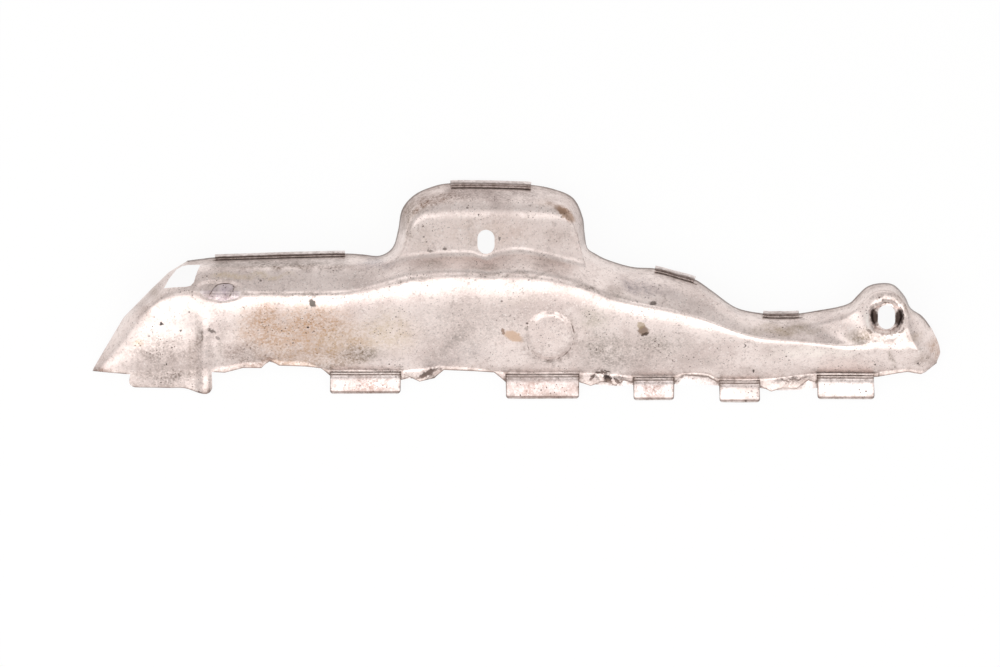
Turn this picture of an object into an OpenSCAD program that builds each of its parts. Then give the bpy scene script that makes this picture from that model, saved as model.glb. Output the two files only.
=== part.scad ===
// Exhaust heat shield: two thin pressed steel skins, one inside the other,
// held together by tabs folded round their common edge.

/* [Sheet] */
// Thickness of each pressed skin
sheet_t = 0.5; // [0.4:0.05:0.6]
// Air gap between the two skins
skin_gap = 0.3; // [0.25:0.05:0.4]

/* [Size] */
// Millimetres for one unit of the layout grid that the form lines are drawn on
layout_unit = 0.55; // [0.5:0.01:0.6]
// Scale of the heights of the form lines
height_scale = 1; // [0.8:0.05:1.1]
// Outward bulge of the broad front face
face_bulge = 2; // [0:0.5:3]

/* [Bolt slots] */
// Width of both bolt slots
slot_w = 9.4; // [8.5:0.1:10]
// Length of both bolt slots
slot_l = 13.2; // [12:0.1:14]
// Depth of the round cup that holds the right slot
cup_depth = 5.6; // [4:0.2:7]
// Radius of the cup at its mouth
cup_mouth_r = 10; // [9.5:0.1:10.4]
// Radius of the flat floor of the cup
cup_floor_r = 7.5; // [7.2:0.1:7.8]

/* [Folded tabs] */
// Length of the front skin's first lower tab from the left, from the fold
tab_1_l = 10.4; // [9:0.2:10.6]
// Length of the second lower tab
tab_2_l = 12; // [10:0.2:12.2]
// Length of the third lower tab
tab_3_l = 11; // [9:0.2:11.2]
// Length of the fourth lower tab
tab_4_l = 10.4; // [9:0.2:10.6]
// Length of the fifth lower tab
tab_5_l = 11.6; // [10:0.2:11.8]
// Length of the upper hem strips of the front skin, from the fold
hem_l = 7; // [6:0.2:8]
// How far the front skin's flap looks out beyond the rear skin's flap
flap_step = 1.4; // [1:0.1:2]

/* [Button] */
// Radius of the raised round button at its foot
button_r = 13.2; // [12:0.2:13.4]
// Height of the button over the face
button_h = 1.6; // [0.8:0.1:2]

/* [Upright bead] */
// Rise of the upright bead beside the lug
bead_rise = 1.7; // [0.8:0.1:2]
// Depth of the groove on its left
groove_sink = 0.8; // [0.2:0.1:1]

/* [Hidden] */
$fn = 48;

// Layout grid: origin of the part on it, x to the right and y downwards.
grid_x = 516.38;
grid_y = 291.33;
// Offset of the middle of the rear skin from the middle of the front skin
rear_offset = -(sheet_t + skin_gap);
// Bend radius of the front skin's middle line in a fold
fold_r = (sheet_t + skin_gap) / 2;
// Lift that sets the lowest fold on the ground
ground_lift = 1.33;

// Form lines. Each key is [station, grid x, grid y, height in mm].
// Stations run from the left end to the right end and are common to all lines.

// Lower fold line
fold_line = [
  [0, 87, 386, 0], [1, 107, 386.5, 0], [2, 129, 387, 0], [3, 170, 387.7, 0], [3.35, 185, 388, 0],
  [3.7, 200, 393, 0], [3.87, 206.5, 393.8, 0], [4, 212, 391.5, 0], [5, 243, 390, 0], [6, 275, 390, 0],
  [7, 305, 390.5, 0], [8, 330, 391, 0], [9, 353.5, 391, 0], [11, 400.5, 391, 0], [13, 444, 393.5, 0],
  [15, 506, 396, 0], [18, 579, 396, 0], [21, 633.5, 397.5, 0], [23, 674, 397.5, 0],
  [25, 719.5, 399.5, 0], [27, 760, 399.5, 0], [30, 817.5, 396.5, 0], [32, 874.5, 396.5, 0],
  [33, 881, 395.5, 0.5], [36, 899, 391, 1], [38, 909, 389, 1.5], [40, 922, 388, 2], [43, 938, 380, 3]];

// Bend between the flange that carries the tabs and the front face
foot_line = [
  [0, 94, 368, 1], [0.25, 99, 368, 3.5], [0.5, 105, 368.5, 5], [1, 116, 369, 5.5], [2, 131, 370, 6],
  [3, 170, 370, 6], [4, 211.5, 368, 6.5], [5, 243, 362, 6.5], [5.6, 261, 361, 6.5],
  [5.85, 269.5, 356.8, 7.5], [6.1, 279, 360.5, 6], [7, 305.5, 362, 4.5], [8, 330.5, 370, 1.7],
  [9, 354, 370, 1.7], [11, 401, 370.5, 1.7], [13, 444, 366.5, 2.5], [14, 475, 368, 2.2],
  [15, 505.5, 372.3, 1.7], [18, 578.5, 372.5, 1.7], [19.4, 604, 374.5, 1.7], [21, 633, 375.8, 1.6],
  [23, 673.5, 375.8, 1.6], [23.5, 684, 373.3, 1.8], [24.5, 708, 374.5, 1.8], [25, 719, 378.8, 1.6],
  [27, 759.5, 378.8, 1.6], [28.5, 788, 377, 1.7], [30, 817, 373.3, 1.8], [32, 873.5, 373.3, 1.8],
  [33, 880, 371.5, 3], [34, 886, 370.5, 4.5], [36, 898, 369, 6.5], [38, 907.5, 368, 7],
  [40, 920, 369.5, 7], [42, 930, 366, 5], [43, 936.5, 361.5, 3]];

// Main ridge, as the sharp corner before rounding
ridge_line = [
  [0, 124, 317.5, 0], [0.25, 130, 315, 11], [0.5, 137, 312, 18], [1, 146, 307, 24.5], [2, 160, 300, 29],
  [3, 180, 297.5, 31.5], [4, 213, 298, 33.5], [5, 248, 299, 35], [6, 284, 300, 36], [7, 316, 300.5, 37],
  [8, 341, 299, 38], [9, 365, 294, 39], [10, 388, 286.5, 40], [11, 407, 281, 41], [12, 426, 279, 42],
  [13, 444, 277.5, 43], [14, 462, 277.5, 43.5], [15, 480, 277.5, 44], [16, 503, 278, 44],
  [17, 528, 279, 44], [18, 552, 282, 43.5], [19, 573, 286.5, 42.5], [20, 590, 292, 41],
  [21, 605, 298, 39], [22, 618, 302.5, 37.5], [23, 637, 307.5, 36], [24, 660, 312.5, 34],
  [25, 684, 318, 31.5], [26, 704, 324, 29.5], [27, 724, 331, 28], [28, 745, 338, 26.5],
  [29, 766, 342, 25.5], [30, 792, 343.5, 25], [31, 817, 345.5, 24.5], [32, 842, 349, 23],
  [33, 862, 350.5, 21.5], [34, 872, 350, 21], [35, 881, 349, 21],
  [36, 888, 347.5, 21], [37, 893, 346.5, 20.5], [38, 899, 346, 20], [39, 906, 346.5, 20.5],
  [40, 913, 348, 21], [41, 919, 349.5, 20], [42, 927, 352, 15], [43, 940, 353, 3]];

// Valley behind the ridge
valley_line = [
  [0, 152, 289, 0], [0.25, 156, 289, 9.5], [0.5, 161, 288.5, 16], [1, 168, 286.5, 21.5],
  [2, 180, 284, 25.5], [3, 197, 282, 27.5], [4, 226, 281, 28.5], [5, 260, 280.5, 29.5],
  [6, 296, 280, 30.5], [7, 330, 279, 31.5], [8, 352, 277, 31], [9, 374, 272, 29.5],
  [10, 393, 265, 27], [11, 403, 259.5, 26], [12, 412, 257.5, 26],
  [13, 430, 255.5, 26], [14, 452, 254.5, 26], [15, 472, 255, 26], [15.6, 485, 259.2, 26],
  [16, 497, 254.5, 26], [17, 519, 251, 26], [18, 545, 255.5, 26], [19, 566, 261, 26], [20, 576, 263, 25.5],
  [21, 584, 266, 25], [22, 592, 270.5, 24], [23, 614, 278, 23.5], [24, 640, 284, 23], [25, 665, 289, 22.5],
  [26, 687, 295, 22], [27, 708, 303, 21], [28, 728, 313.5, 20],
  [29, 751, 323.5, 19], [30, 778, 329, 18], [31, 800, 331, 17.5], [32, 824, 331.5, 18],
  [33, 845, 333, 20], [34, 857, 331, 21], [35, 867, 328, 22],
  [36, 874, 324, 22], [37, 880, 320, 22], [38, 887, 317, 22], [39, 895, 318, 22], [40, 903, 324, 22],
  [41, 910, 329, 21.5], [42, 921, 337, 17], [43, 939, 346, 4]];

// Upper shoulder, as the sharp corner before rounding
shoulder_line = [
  [0, 169, 272.5, 0], [0.25, 171, 273, 7], [0.5, 174.5, 272.5, 12], [1, 180, 271.5, 17],
  [2, 192, 270, 21], [3, 207, 268.5, 23.5], [4, 234, 268, 24.5], [5, 267, 267.5, 25],
  [6, 303, 267, 25.5], [7, 339, 266.5, 26], [8, 357, 266.5, 26], [9, 378, 264, 25.5],
  [10, 396, 257.5, 25], [11, 404.5, 243, 25.3],
  [12, 409, 223, 26], [13, 420, 208.5, 26], [14, 437, 205, 26], [15, 455, 204, 26], [16, 480, 203.5, 26],
  [17, 506, 204, 26], [18, 530, 205, 26], [19, 550, 207, 26], [20, 567, 212.5, 26], [21, 576, 228, 26],
  [21.5, 578, 243, 25], [22, 582.5, 257, 22], [22.5, 594, 265, 19.5], [23, 609, 270, 18.5],
  [24, 635, 277, 17], [25, 659, 279.5, 17], [26, 680, 285, 16.5],
  [27, 700, 292, 16], [28, 718, 302, 15], [29, 741.5, 316.5, 14.5], [30, 767, 322, 14], [31, 787, 323, 14],
  [32, 806, 322.5, 14.5], [33, 826, 320, 16], [34, 843, 316, 19], [35, 856, 309.5, 21.5],
  [36, 864.5, 300.5, 22], [37, 872, 293.5, 22], [38, 880.5, 290.5, 22], [39, 891.5, 291.5, 22],
  [40, 901.5, 299.5, 22], [41, 908, 311, 21.5], [42, 918.5, 322, 16], [43, 936, 338, 4]];

// Upper rim
rim_line = [
  [0, 188, 261, 0.3], [1, 193, 260.3, 0.3], [2, 201, 259.3, 0.3], [3, 215, 257.7, 0.3],
  [4, 240, 256.8, 0.3], [5, 272, 255.7, 0.3], [6, 308, 254.6, 0.3], [7, 345, 253.9, 0.3],
  [8, 362, 254.8, 0.3], [9, 380, 256, 0.3], [10, 393, 247.5, 0.3], [11, 398.5, 230, 0.3],
  [12, 402.5, 209.5, 0.3], [13, 415, 195, 0.3], [14, 434, 186.6, 0.3],
  [15, 450.5, 183.6, 0.3], [16, 477, 183.4, 0.3], [17, 505, 184, 0.3], [18, 531, 185.2, 0.3],
  [19, 554, 189.6, 0.3], [20, 573, 198.5, 0.3], [21, 582.5, 218, 0.3], [21.5, 584.3, 234, 0.3],
  [22, 587, 248, 0.3], [22.5, 595, 254, 0.3], [23, 607, 260, 0.3],
  [24, 632, 267.3, 0.3], [25, 655, 268.9, 0.3], [26, 675, 274, 0.3], [27, 694.5, 279.6, 0.3],
  [28, 712, 291.3, 0.3], [29, 736, 308, 0.3], [30, 763, 313.8, 0.3], [31, 781, 314.3, 0.3],
  [32, 799, 313.8, 0.3], [33, 820, 310.5, 1],
  [34, 838, 307.3, 2.5], [35, 850, 303.2, 4], [36, 858, 295.5, 5], [37, 867, 287.2, 6], [38, 879, 283.7, 6],
  [39, 893, 285, 6], [40, 904, 296, 7], [41, 910.5, 308.5, 7.5], [42, 922, 316.5, 6], [43, 931.5, 329, 4]];

// Grid y of the trimmed lower edge between the tabs: [station, y of front skin, y of rear skin]
trim_line = [
  [0, 371, 370], [1, 372.8, 372], [2, 374, 374], [3, 374, 374], [4, 371.8, 371], [4.4, 372.5, 371.5],
  [5, 367.8, 367], [5.6, 367.9, 367], [5.85, 360.2, 362], [6.1, 365.5, 365], [7, 366.4, 366],
  [7.6, 368.2, 368], [8, 374.5, 376], [9, 376, 376], [10, 376, 376], [11, 380, 380], [11.4, 377, 378.5],
  [11.9, 381.6, 379], [12.6, 378, 374], [13, 369.8, 369.5], [14, 371.2, 371], [14.6, 372.4, 372.4],
  [15, 382, 382], [18, 382, 382], [18.6, 385.8, 384], [19.4, 381, 385.5], [20, 385.4, 386],
  [20.5, 380.5, 386], [21, 382.3, 385], [22, 383, 384], [23, 382.3, 384.5], [23.5, 375.3, 384.6],
  [24.5, 377, 384.6], [25, 383.7, 386], [26, 386, 386], [27, 386, 388], [27.6, 391.5, 390],
  [28.2, 388.2, 390.5], [29, 388.6, 390], [29.6, 380, 389], [30, 383, 388], [31, 380, 380],
  [32, 377, 377], [33, 376.3, 376], [34, 375.2, 375], [36, 373, 373], [38, 371.7, 371.5],
  [40, 374, 373.5], [41, 371.8, 371.5], [42, 368, 368], [43, 363, 363]];

// Waves of the front skin's lower edge between the tabs: [station, lift off the rear skin in mm]
wave_line = [
  [0, 0], [5, 0], [5.6, 0.5], [5.85, 0], [6.1, 0.4], [7, 0], [11, 0], [11.4, 0.8], [11.9, 0.1],
  [12.6, 1], [13, 0], [15, 0], [18, 0], [18.6, 0.2], [19.4, 1.4], [20, 0.2], [20.5, 0.7],
  [21, 0], [23, 0], [23.5, 0.6], [24.5, 0.5], [25, 0], [27, 0], [27.6, 0.2], [28.2, 1.2],
  [29, 1], [29.6, 0.3], [30, 0], [43, 0]];

// Length of the roundings: [station, ridge to face, ridge to valley, valley, shoulder]
bend_line = [
  [0, 2, 2, 1, 1], [1, 11, 7, 3, 3], [3, 18, 8, 4, 4], [9, 20, 8, 4, 5], [12, 22, 8, 3.5, 7],
  [14, 22, 8, 3.5, 10], [18, 20, 8, 3.5, 10], [20, 20, 8, 3.5, 7], [22, 20, 8, 4, 4.5], [24, 22, 7, 5, 5],
  [27, 24, 5, 5, 5], [30, 24, 4, 5, 5], [33, 16, 5, 4, 4], [35, 5, 5, 3, 1.2], [41, 5, 5, 3, 1.2],
  [42, 4, 4, 2, 2], [43, 1, 1, 1, 1]];

// Stations at which the skins are drawn
columns = [
  0, 0.25, 0.5, 1, 2, 2.15, 3, 3.35, 3.6, 3.8, 4, 4.4, 5, 5.6, 5.85, 6.1, 7, 7.6, 8, 9, 10, 10.5, 11,
  11.4, 11.9, 12.25, 12.6, 13, 13.5, 14, 14.6, 15, 15.3, 15.6, 16, 17, 17.5, 18, 18.6, 19.4, 19.7, 20,
  20.5, 21, 21.5,
  22, 22.5, 23, 23.5, 24.5, 25, 26, 27, 27.6, 28.2, 29, 29.6, 30, 31, 32, 33, 34, 35, 36, 37, 38,
  39, 40, 41, 42, 42.5, 43];

// Stations between which a lower tab is folded, and its length from the fold
tabs = [[8, 11, tab_1_l], [15, 18, tab_2_l], [21, 23, tab_3_l], [25, 27, tab_4_l], [30, 32, tab_5_l]];
// Stations between which an upper hem strip is folded
hems = [[3, 7], [15, 18], [25, 27], [30, 32]];
// Stations of the flat lug at the lower left corner
lug = [2, 4];
// Length of the lower tab at station u
function tab_length(u) = [for (t = tabs) if (u >= t[0] && u <= t[1]) t[2], tab_1_l][0];

// Middle of the cup, of the button and of the dome slot on the layout grid
cup_at = [886.5, 317];
button_at = [549.5, 335.5];
slot_at = [486, 241.8];
// Top of the upright bead on the layout grid, the length over which it rises, and its half width
bead_at = [205, 308];
bead_fade = 20;
bead_half_w = 6;
// Middle and half width of the groove
groove_x = 192;
groove_half_w = 7;

function place(x, y, z) = [
  (x - grid_x) * layout_unit,
  (grid_y - y) * layout_unit,
  z * height_scale + ground_lift];
function unit(v) = v / norm(v);
function mix(a, b, t) = a + (b - a) * t;

// Segment of a key list in which station u lies
function segment(keys, u, k = 0) =
  k >= len(keys) - 2 || keys[k + 1][0] > u ? k : segment(keys, u, k + 1);
function tail(key) = [for (n = [1 : len(key) - 1]) key[n]];
// Straight interpolation between keys
function lookup_line(keys, u) =
  let (k = segment(keys, u), a = keys[k], b = keys[k + 1])
  mix(tail(a), tail(b), (u - a[0]) / (b[0] - a[0]));
// Slope of a key list at key k
function slope(keys, k) =
  let (a = keys[max(k - 1, 0)], b = keys[min(k + 1, len(keys) - 1)])
  (tail(b) - tail(a)) / (b[0] - a[0]);
// Smooth interpolation between keys
function smooth_line(keys, u) =
  let (
    k = segment(keys, u),
    a = keys[k],
    b = keys[k + 1],
    h = b[0] - a[0],
    t = (u - a[0]) / h)
  tail(a) * (2 * t ^ 3 - 3 * t ^ 2 + 1) + tail(b) * (3 * t ^ 2 - 2 * t ^ 3)
  + slope(keys, k) * h * (t ^ 3 - 2 * t ^ 2 + t) + slope(keys, k + 1) * h * (t ^ 3 - t ^ 2);
function at(keys, u) = let (p = smooth_line(keys, u)) place(p[0], p[1], p[2]);

// Point of a rounded corner q between p and r, rounded over l towards p and over m towards r
function rounded(p, q, r, l, m, t) =
  let (
    a = mix(q, p, min(l / norm(p - q), 0.45)),
    b = mix(q, r, min(m / norm(r - q), 0.45)))
  mix(mix(a, q, t), mix(q, b, t), t);

// Upright bead beside the lug, as a push out of the face, with a groove on its left
function bead(p) =
  let (
    x = p[0] / layout_unit + grid_x,
    y = grid_y - p[1] / layout_unit,
    reach = min(max((y - bead_at[1]) / bead_fade, 0), 1))
  [0, 0, reach * (bead_rise * exp(-((x - bead_at[0]) / bead_half_w) ^ 2)
    - groove_sink * exp(-((x - groove_x) / groove_half_w) ^ 2))];

// Trimmed edge point at station u; skin 0 is the front, 1 the rear
function edge_point(u, skin) =
  let (
    e = smooth_line(fold_line, u),
    f = smooth_line(foot_line, u),
    y = lookup_line(trim_line, u)[skin],
    p = mix(e, f, (e[1] - y) / (e[1] - f[1])))
  place(p[0], p[1], p[2]) + [0, 0, (1 - skin) * lookup_line(wave_line, u)[0]];

// One cross-section from the trimmed edge up over the ridge to the rim
function cross_section(u, skin) =
  let (
    b = edge_point(u, skin),
    f = at(foot_line, u),
    r = at(ridge_line, u),
    v = at(valley_line, u),
    s = at(shoulder_line, u),
    t = at(rim_line, u),
    bend = lookup_line(bend_line, u),
    r0 = rounded(f, r, v, bend[0], bend[1], 0),
    rise = face_bulge * min(u, 1) * min(norm(r0 - f) / 40, 1) ^ 2,
    raw = concat(
      [b, f],
      [for (n = [1 : 2]) mix(f, r0, n / 3) + [0, 0, rise]],
      [for (n = [0 : 3]) rounded(f, r, v, bend[0], bend[1], n / 3)],
      [for (n = [0 : 2]) rounded(r, v, s, bend[2], bend[2], n / 2)],
      [for (n = [0 : 3]) rounded(v, s, t, bend[3], bend[3], n / 3)],
      [t]))
  [for (p = raw) p + bead(p)];

cols = len(columns);
sections = [for (skin = [0, 1]) [for (u = columns) cross_section(u, skin)]];
rows = len(sections[0][0]);
fold_points = [for (u = columns) at(fold_line, u) + bead(at(fold_line, u))];

// Rows at the two ends of the straight leg between valley and shoulder, the dome's flat seat
leg_start = 10;
leg_end = 11;
// Outward normal of the skin at column i and row j
function normal(g, i, j) =
  let (
    on_leg = (j == leg_start || j == leg_end) && columns[i] > 12 && columns[i] < 20,
    j0 = on_leg ? leg_start : max(j - 1, 0),
    j1 = on_leg ? leg_end : min(j + 1, rows - 1),
    across = g[min(i + 1, cols - 1)][j] - g[max(i - 1, 0)][j],
    along = g[i][j1] - g[i][j0])
  unit(cross(across, along));
normals = [for (g = sections) [for (i = [0 : cols - 1]) [for (j = [0 : rows - 1]) normal(g, i, j)]]];

// Rows below the edge: flap end, four steps of the fold, fold line. Rows above the rim are alike.
below = 6;
above = 5;
all_rows = below + rows + above;

// Frame of a fold: [start, outward direction along the sheet, normal]
function lower_fold(i) =
  let (
    axis = unit(fold_points[min(i + 1, cols - 1)] - fold_points[max(i - 1, 0)]),
    e = fold_points[i],
    n = unit(cross(axis, sections[0][i][1] - e)))
  [e, unit(cross(axis, n)), n];
function upper_fold(i) =
  let (
    g = sections[0],
    axis = unit(g[min(i + 1, cols - 1)][rows - 1] - g[max(i - 1, 0)][rows - 1]),
    n = unit(cross(axis, g[i][rows - 1] - g[i][rows - 2])))
  [g[i][rows - 1], unit(cross(n, axis)), n];
// Point of a fold on the face that lies o above the front skin's middle
function fold_point(frame, o, turn) =
  frame[0] + frame[2] * fold_r + (fold_r - o) * (frame[1] * sin(turn) - frame[2] * cos(turn));
function flap_end(frame, o, l) =
  frame[0] + frame[2] * (2 * fold_r - o) - frame[1] * l;

// All points of one face of a skin. o is the height of that face over the front skin's middle.
function face_points(skin, o) = [
  for (i = [0 : cols - 1])
    let (
      low = lower_fold(i),
      up = upper_fold(i),
      cut = skin * flap_step)
    concat(
      [flap_end(low, o, tab_length(columns[i]) - cut)],
      [for (n = [4 : -1 : 1]) fold_point(low, o, 45 * n)],
      [low[0] + low[2] * o],
      [for (j = [0 : rows - 1]) sections[skin][i][j] + normals[skin][i][j] * o],
      [for (n = [1 : 4]) fold_point(up, o, 45 * n)],
      [flap_end(up, o, hem_l - cut)])];

function between(spans, i) =
  len([for (s = spans) if (columns[i] >= s[0] && columns[i + 1] <= s[1]) 1]) > 0;
// Whether the cell right of column i and above row j is sheet
function is_sheet(i, j) =
  i >= 0 && i < cols - 1 && j >= 0 && j < all_rows - 1 && (
    j >= below && j < below + rows - 1 ? true :
    j < below ? between(tabs, i) || (j == below - 1 && between([lug], i)) :
    between(hems, i));

// Blocks of cells that make way for a round form: [first column, last column, first row, last row]
function column_of(u) = search(u, columns)[0];
cup_block = [column_of(35), column_of(41), below + 5, below + 11];
button_block = [column_of(16), column_of(18.6), below + 1, below + 4];
blocks = [cup_block, button_block];
function in_block(i, j) =
  len([for (b = blocks) if (i >= b[0] && i < b[1] && j >= b[2] && j < b[3]) 1]) > 0;

// Grid indices round a block, anticlockwise seen from outside
function loop_of(b) = concat(
  [for (i = [b[0] : b[1] - 1]) [i, b[2]]],
  [for (j = [b[2] : b[3] - 1]) [b[1], j]],
  [for (i = [b[1] : -1 : b[0] + 1]) [i, b[3]]],
  [for (j = [b[3] : -1 : b[2] + 1]) [b[0], j]]);

// Seat of a round form: [middle, x direction, y direction, normal]
cup_seat = [place(cup_at[0], cup_at[1], 22), [1, 0, 0], [0, 1, 0], [0, 0, 1]];
function button_seat() =
  let (
    g = sections[0],
    b = button_block,
    p00 = g[b[0]][b[2] - below],
    p10 = g[b[1]][b[2] - below],
    p01 = g[b[0]][b[3] - below],
    p11 = g[b[1]][b[3] - below],
    n = unit(cross(p11 - p00, p01 - p10)),
    i = round((b[0] + b[1]) / 2),
    mid = mix(g[i][b[2] - below + 1], g[i][b[2] - below + 2], 0.5),
    flat = place(button_at[0], button_at[1], 0),
    z = mid[2] - (n[0] * (flat[0] - mid[0]) + n[1] * (flat[1] - mid[1])) / n[2],
    ex = unit([n[2], 0, -n[0]]))
  [[flat[0], flat[1], z - 0.3], ex, cross(n, ex), n];

// Rings of a round form from outside to inside: [radius, push out of the seat]
cup_rings = [
  [cup_mouth_r + 1, 0],
  [cup_mouth_r, -0.06 * cup_depth],
  [mix(cup_floor_r, cup_mouth_r, 0.62), -0.4 * cup_depth],
  [mix(cup_floor_r, cup_mouth_r, 0.3), -0.82 * cup_depth],
  [cup_floor_r, -cup_depth]];
button_rings = [
  [button_r, 0],
  [button_r - 1, 0.5 * button_h],
  [button_r - 2.4, 0.92 * button_h],
  [button_r - 6, button_h]];
flat_rings = [[button_r, 0]];

// Directions of the ring points in degrees, count of them per loop point = dense
function ring_angles(skin, block, seat, dense) =
  let (
    loop = loop_of(block),
    count = len(loop),
    raw = [
      for (q = loop)
        let (d = sections[skin][q[0]][q[1] - below] - seat[0])
        atan2(d * seat[2], d * seat[1])],
    open = [for (k = [0 : count]) raw[k % count]],
    // differences brought into one turn
    steps = [for (k = [0 : count - 1]) let (d = open[k + 1] - open[k]) d < 0 ? d + 360 : d])
  [for (k = [0 : count - 1]) for (m = [0 : dense - 1]) open[k] + steps[k] * m / dense];

function ring_middle(seat, ring, angles) = [
  for (a = angles)
    seat[0] + (seat[1] * cos(a) + seat[2] * sin(a)) * ring[0] + seat[3] * ring[1]];
// Points of all rings on the face that lies o above the middle
function ring_points(skin, block, seat, rings, dense, o) =
  let (
    angles = ring_angles(skin, block, seat, dense),
    mids = [for (r = rings) ring_middle(seat, r, angles)],
    n = len(angles))
  concat(
    [for (k = [0 : len(rings) - 1]) for (q = [0 : n - 1])
      let (
        tangent = mids[k][(q + 1) % n] - mids[k][(q + n - 1) % n],
        out = mids[max(k - 1, 0)][q] - mids[min(k + 1, len(rings) - 1)][q],
        nn = k == len(rings) - 1 || k == 0 ? seat[3] : unit(cross(out, tangent)))
      mids[k][q] + nn * o],
    [seat[0] + seat[3] * (rings[len(rings) - 1][1] + o)]);

function two(a, b, c, d) = [[a, b, c], [a, c, d]];
function joined(lists) = [for (l = lists) for (f = l) f];
function turned(faces) = [for (f = faces) [f[2], f[1], f[0]]];

// One skin as a closed solid: both faces and the cut edges
module skin_sheet(skin) {
  mid = skin * rear_offset;
  top = joined(face_points(skin, mid + sheet_t / 2));
  low = joined(face_points(skin, mid - sheet_t / 2));
  count = len(top);
  forms = [
    [cup_block, cup_seat, cup_rings, 1],
    [button_block, button_seat(), skin == 0 ? button_rings : flat_rings, 2]];
  form_top = [for (f = forms) ring_points(skin, f[0], f[1], f[2], f[3], mid + sheet_t / 2)];
  form_low = [for (f = forms) ring_points(skin, f[0], f[1], f[2], f[3], mid - sheet_t / 2)];
  half = count + len(form_top[0]) + len(form_top[1]);
  points = concat(top, joined(form_top), low, joined(form_low));
  function id(i, j) = i * all_rows + j;

  cells = joined([
    for (i = [0 : cols - 2]) for (j = [0 : all_rows - 2])
      if (is_sheet(i, j) && !in_block(i, j))
        two(id(i, j), id(i, j + 1), id(i + 1, j + 1), id(i + 1, j))]);

  function form_faces(f, start) =
    let (
      loop = [for (q = loop_of(f[0])) id(q[0], q[1])],
      n = len(loop),
      m = f[3],
      total = n * m,
      rings = len(f[2]),
      collar = [
        for (k = [0 : n - 1])
          concat(
            [for (s = [0 : m - 1])
              let (a = start + k * m + s, b = start + (k * m + s + 1) % total)
              s < m / 2 ? [loop[k], a, b] : [loop[(k + 1) % n], a, b]],
            m == 1 ? [[loop[k], start + (k + 1) % total, loop[(k + 1) % n]]]
                   : [[loop[k], start + k * m + m / 2, loop[(k + 1) % n]]])],
      walls = [
        for (r = [0 : 1 : rings - 2]) for (q = [0 : total - 1])
          let (
            a = start + r * total + q,
            b = start + r * total + (q + 1) % total)
          two(a, a + total, b + total, b)],
      centre = start + rings * total,
      last = start + (rings - 1) * total,
      floor = [for (q = [0 : total - 1]) [last + q, centre, last + (q + 1) % total]])
    concat(joined(collar), joined(walls), floor);
  form_cells = concat(
    form_faces(forms[0], count),
    form_faces(forms[1], count + len(form_top[0])));

  upper = concat(cells, form_cells);
  lower = [for (f = turned(upper)) f + [half, half, half]];
  function wall(a, b) = two(a, b, b + half, a + half);
  sides = joined([
    for (i = [0 : cols - 2]) for (j = [0 : all_rows - 2])
      if (is_sheet(i, j))
        concat(
          is_sheet(i, j - 1) ? [] : wall(id(i + 1, j), id(i, j)),
          is_sheet(i, j + 1) ? [] : wall(id(i, j + 1), id(i + 1, j + 1)),
          is_sheet(i - 1, j) ? [] : wall(id(i, j), id(i, j + 1)),
          is_sheet(i + 1, j) ? [] : wall(id(i + 1, j + 1), id(i + 1, j)))]);
  polyhedron(points, concat(upper, lower, turned(sides)), convexity = 12);
}

// Foot and height of the cuts, past both skins
cut_foot = -1;
cut_h = 60;
// Oblong bolt slot standing on end at a grid point
module slot_cut(at_grid) {
  c = place(at_grid[0], at_grid[1], 0);
  straight = slot_l - slot_w;
  translate([c[0], c[1], cut_foot]) {
    for (end = [-1, 1])
      translate([0, end * straight / 2, 0]) cylinder(d = slot_w, h = cut_h);
    translate([-slot_w / 2, -straight / 2, 0]) cube([slot_w, straight, cut_h]);
  }
}

// Upright prism over an outline on the layout grid
module grid_prism(outline) {
  translate([0, 0, cut_foot])
    linear_extrude(cut_h)
      polygon([for (p = outline) let (q = place(p[0], p[1], 0)) [q[0], q[1]]]);
}

// Opening beside the upper left corner, through both skins
opening = [
  [164, 288.2], [169, 279], [176.5, 269.6], [182, 266.2], [188.5, 265], [200.4, 264.8],
  [197.5, 271], [195.5, 276.5], [194, 282], [190.5, 285.8], [186, 286.8], [176, 287.2]];
// Oval window in the front skin alone
window = [
  [209.3, 295.4], [212.6, 289.6], [216, 285.6], [220, 284], [225, 283.4], [230, 284], [234, 285.8],
  [233.4, 290], [232, 292.8], [229, 296.6], [224, 298], [217, 298.4], [212, 297.8]];

module front_skin() {
  color("silver")
  difference() {
    skin_sheet(0);
    slot_cut(slot_at);
    slot_cut(cup_at);
    grid_prism(opening);
    grid_prism(window);
  }
}

module rear_skin() {
  color("gainsboro")
  difference() {
    skin_sheet(1);
    slot_cut(slot_at);
    slot_cut(cup_at);
    grid_prism(opening);
  }
}

front_skin();
rear_skin();
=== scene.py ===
import math

import bpy
import numpy as np
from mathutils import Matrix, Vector


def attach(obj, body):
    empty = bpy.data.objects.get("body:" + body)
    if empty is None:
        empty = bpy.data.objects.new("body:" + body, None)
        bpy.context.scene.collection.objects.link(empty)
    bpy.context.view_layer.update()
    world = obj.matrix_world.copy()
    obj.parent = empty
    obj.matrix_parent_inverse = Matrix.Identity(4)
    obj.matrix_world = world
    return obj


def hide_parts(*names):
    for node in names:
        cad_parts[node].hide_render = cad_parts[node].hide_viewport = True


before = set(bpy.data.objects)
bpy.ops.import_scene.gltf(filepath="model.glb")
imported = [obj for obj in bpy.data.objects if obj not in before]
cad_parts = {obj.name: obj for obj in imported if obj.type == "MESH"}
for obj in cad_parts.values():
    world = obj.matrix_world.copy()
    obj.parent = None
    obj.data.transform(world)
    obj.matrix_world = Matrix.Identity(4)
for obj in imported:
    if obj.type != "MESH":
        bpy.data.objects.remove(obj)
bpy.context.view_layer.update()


# Front skin. One thin sheet of aluminised steel, pressed over the ridge, the dome and the
# right boss, pierced for two bolts, and folded over at the tabs to hold the rear skin.
# It is drawn from form lines on a layout grid, and a sheet of even thickness is laid over them.

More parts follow.
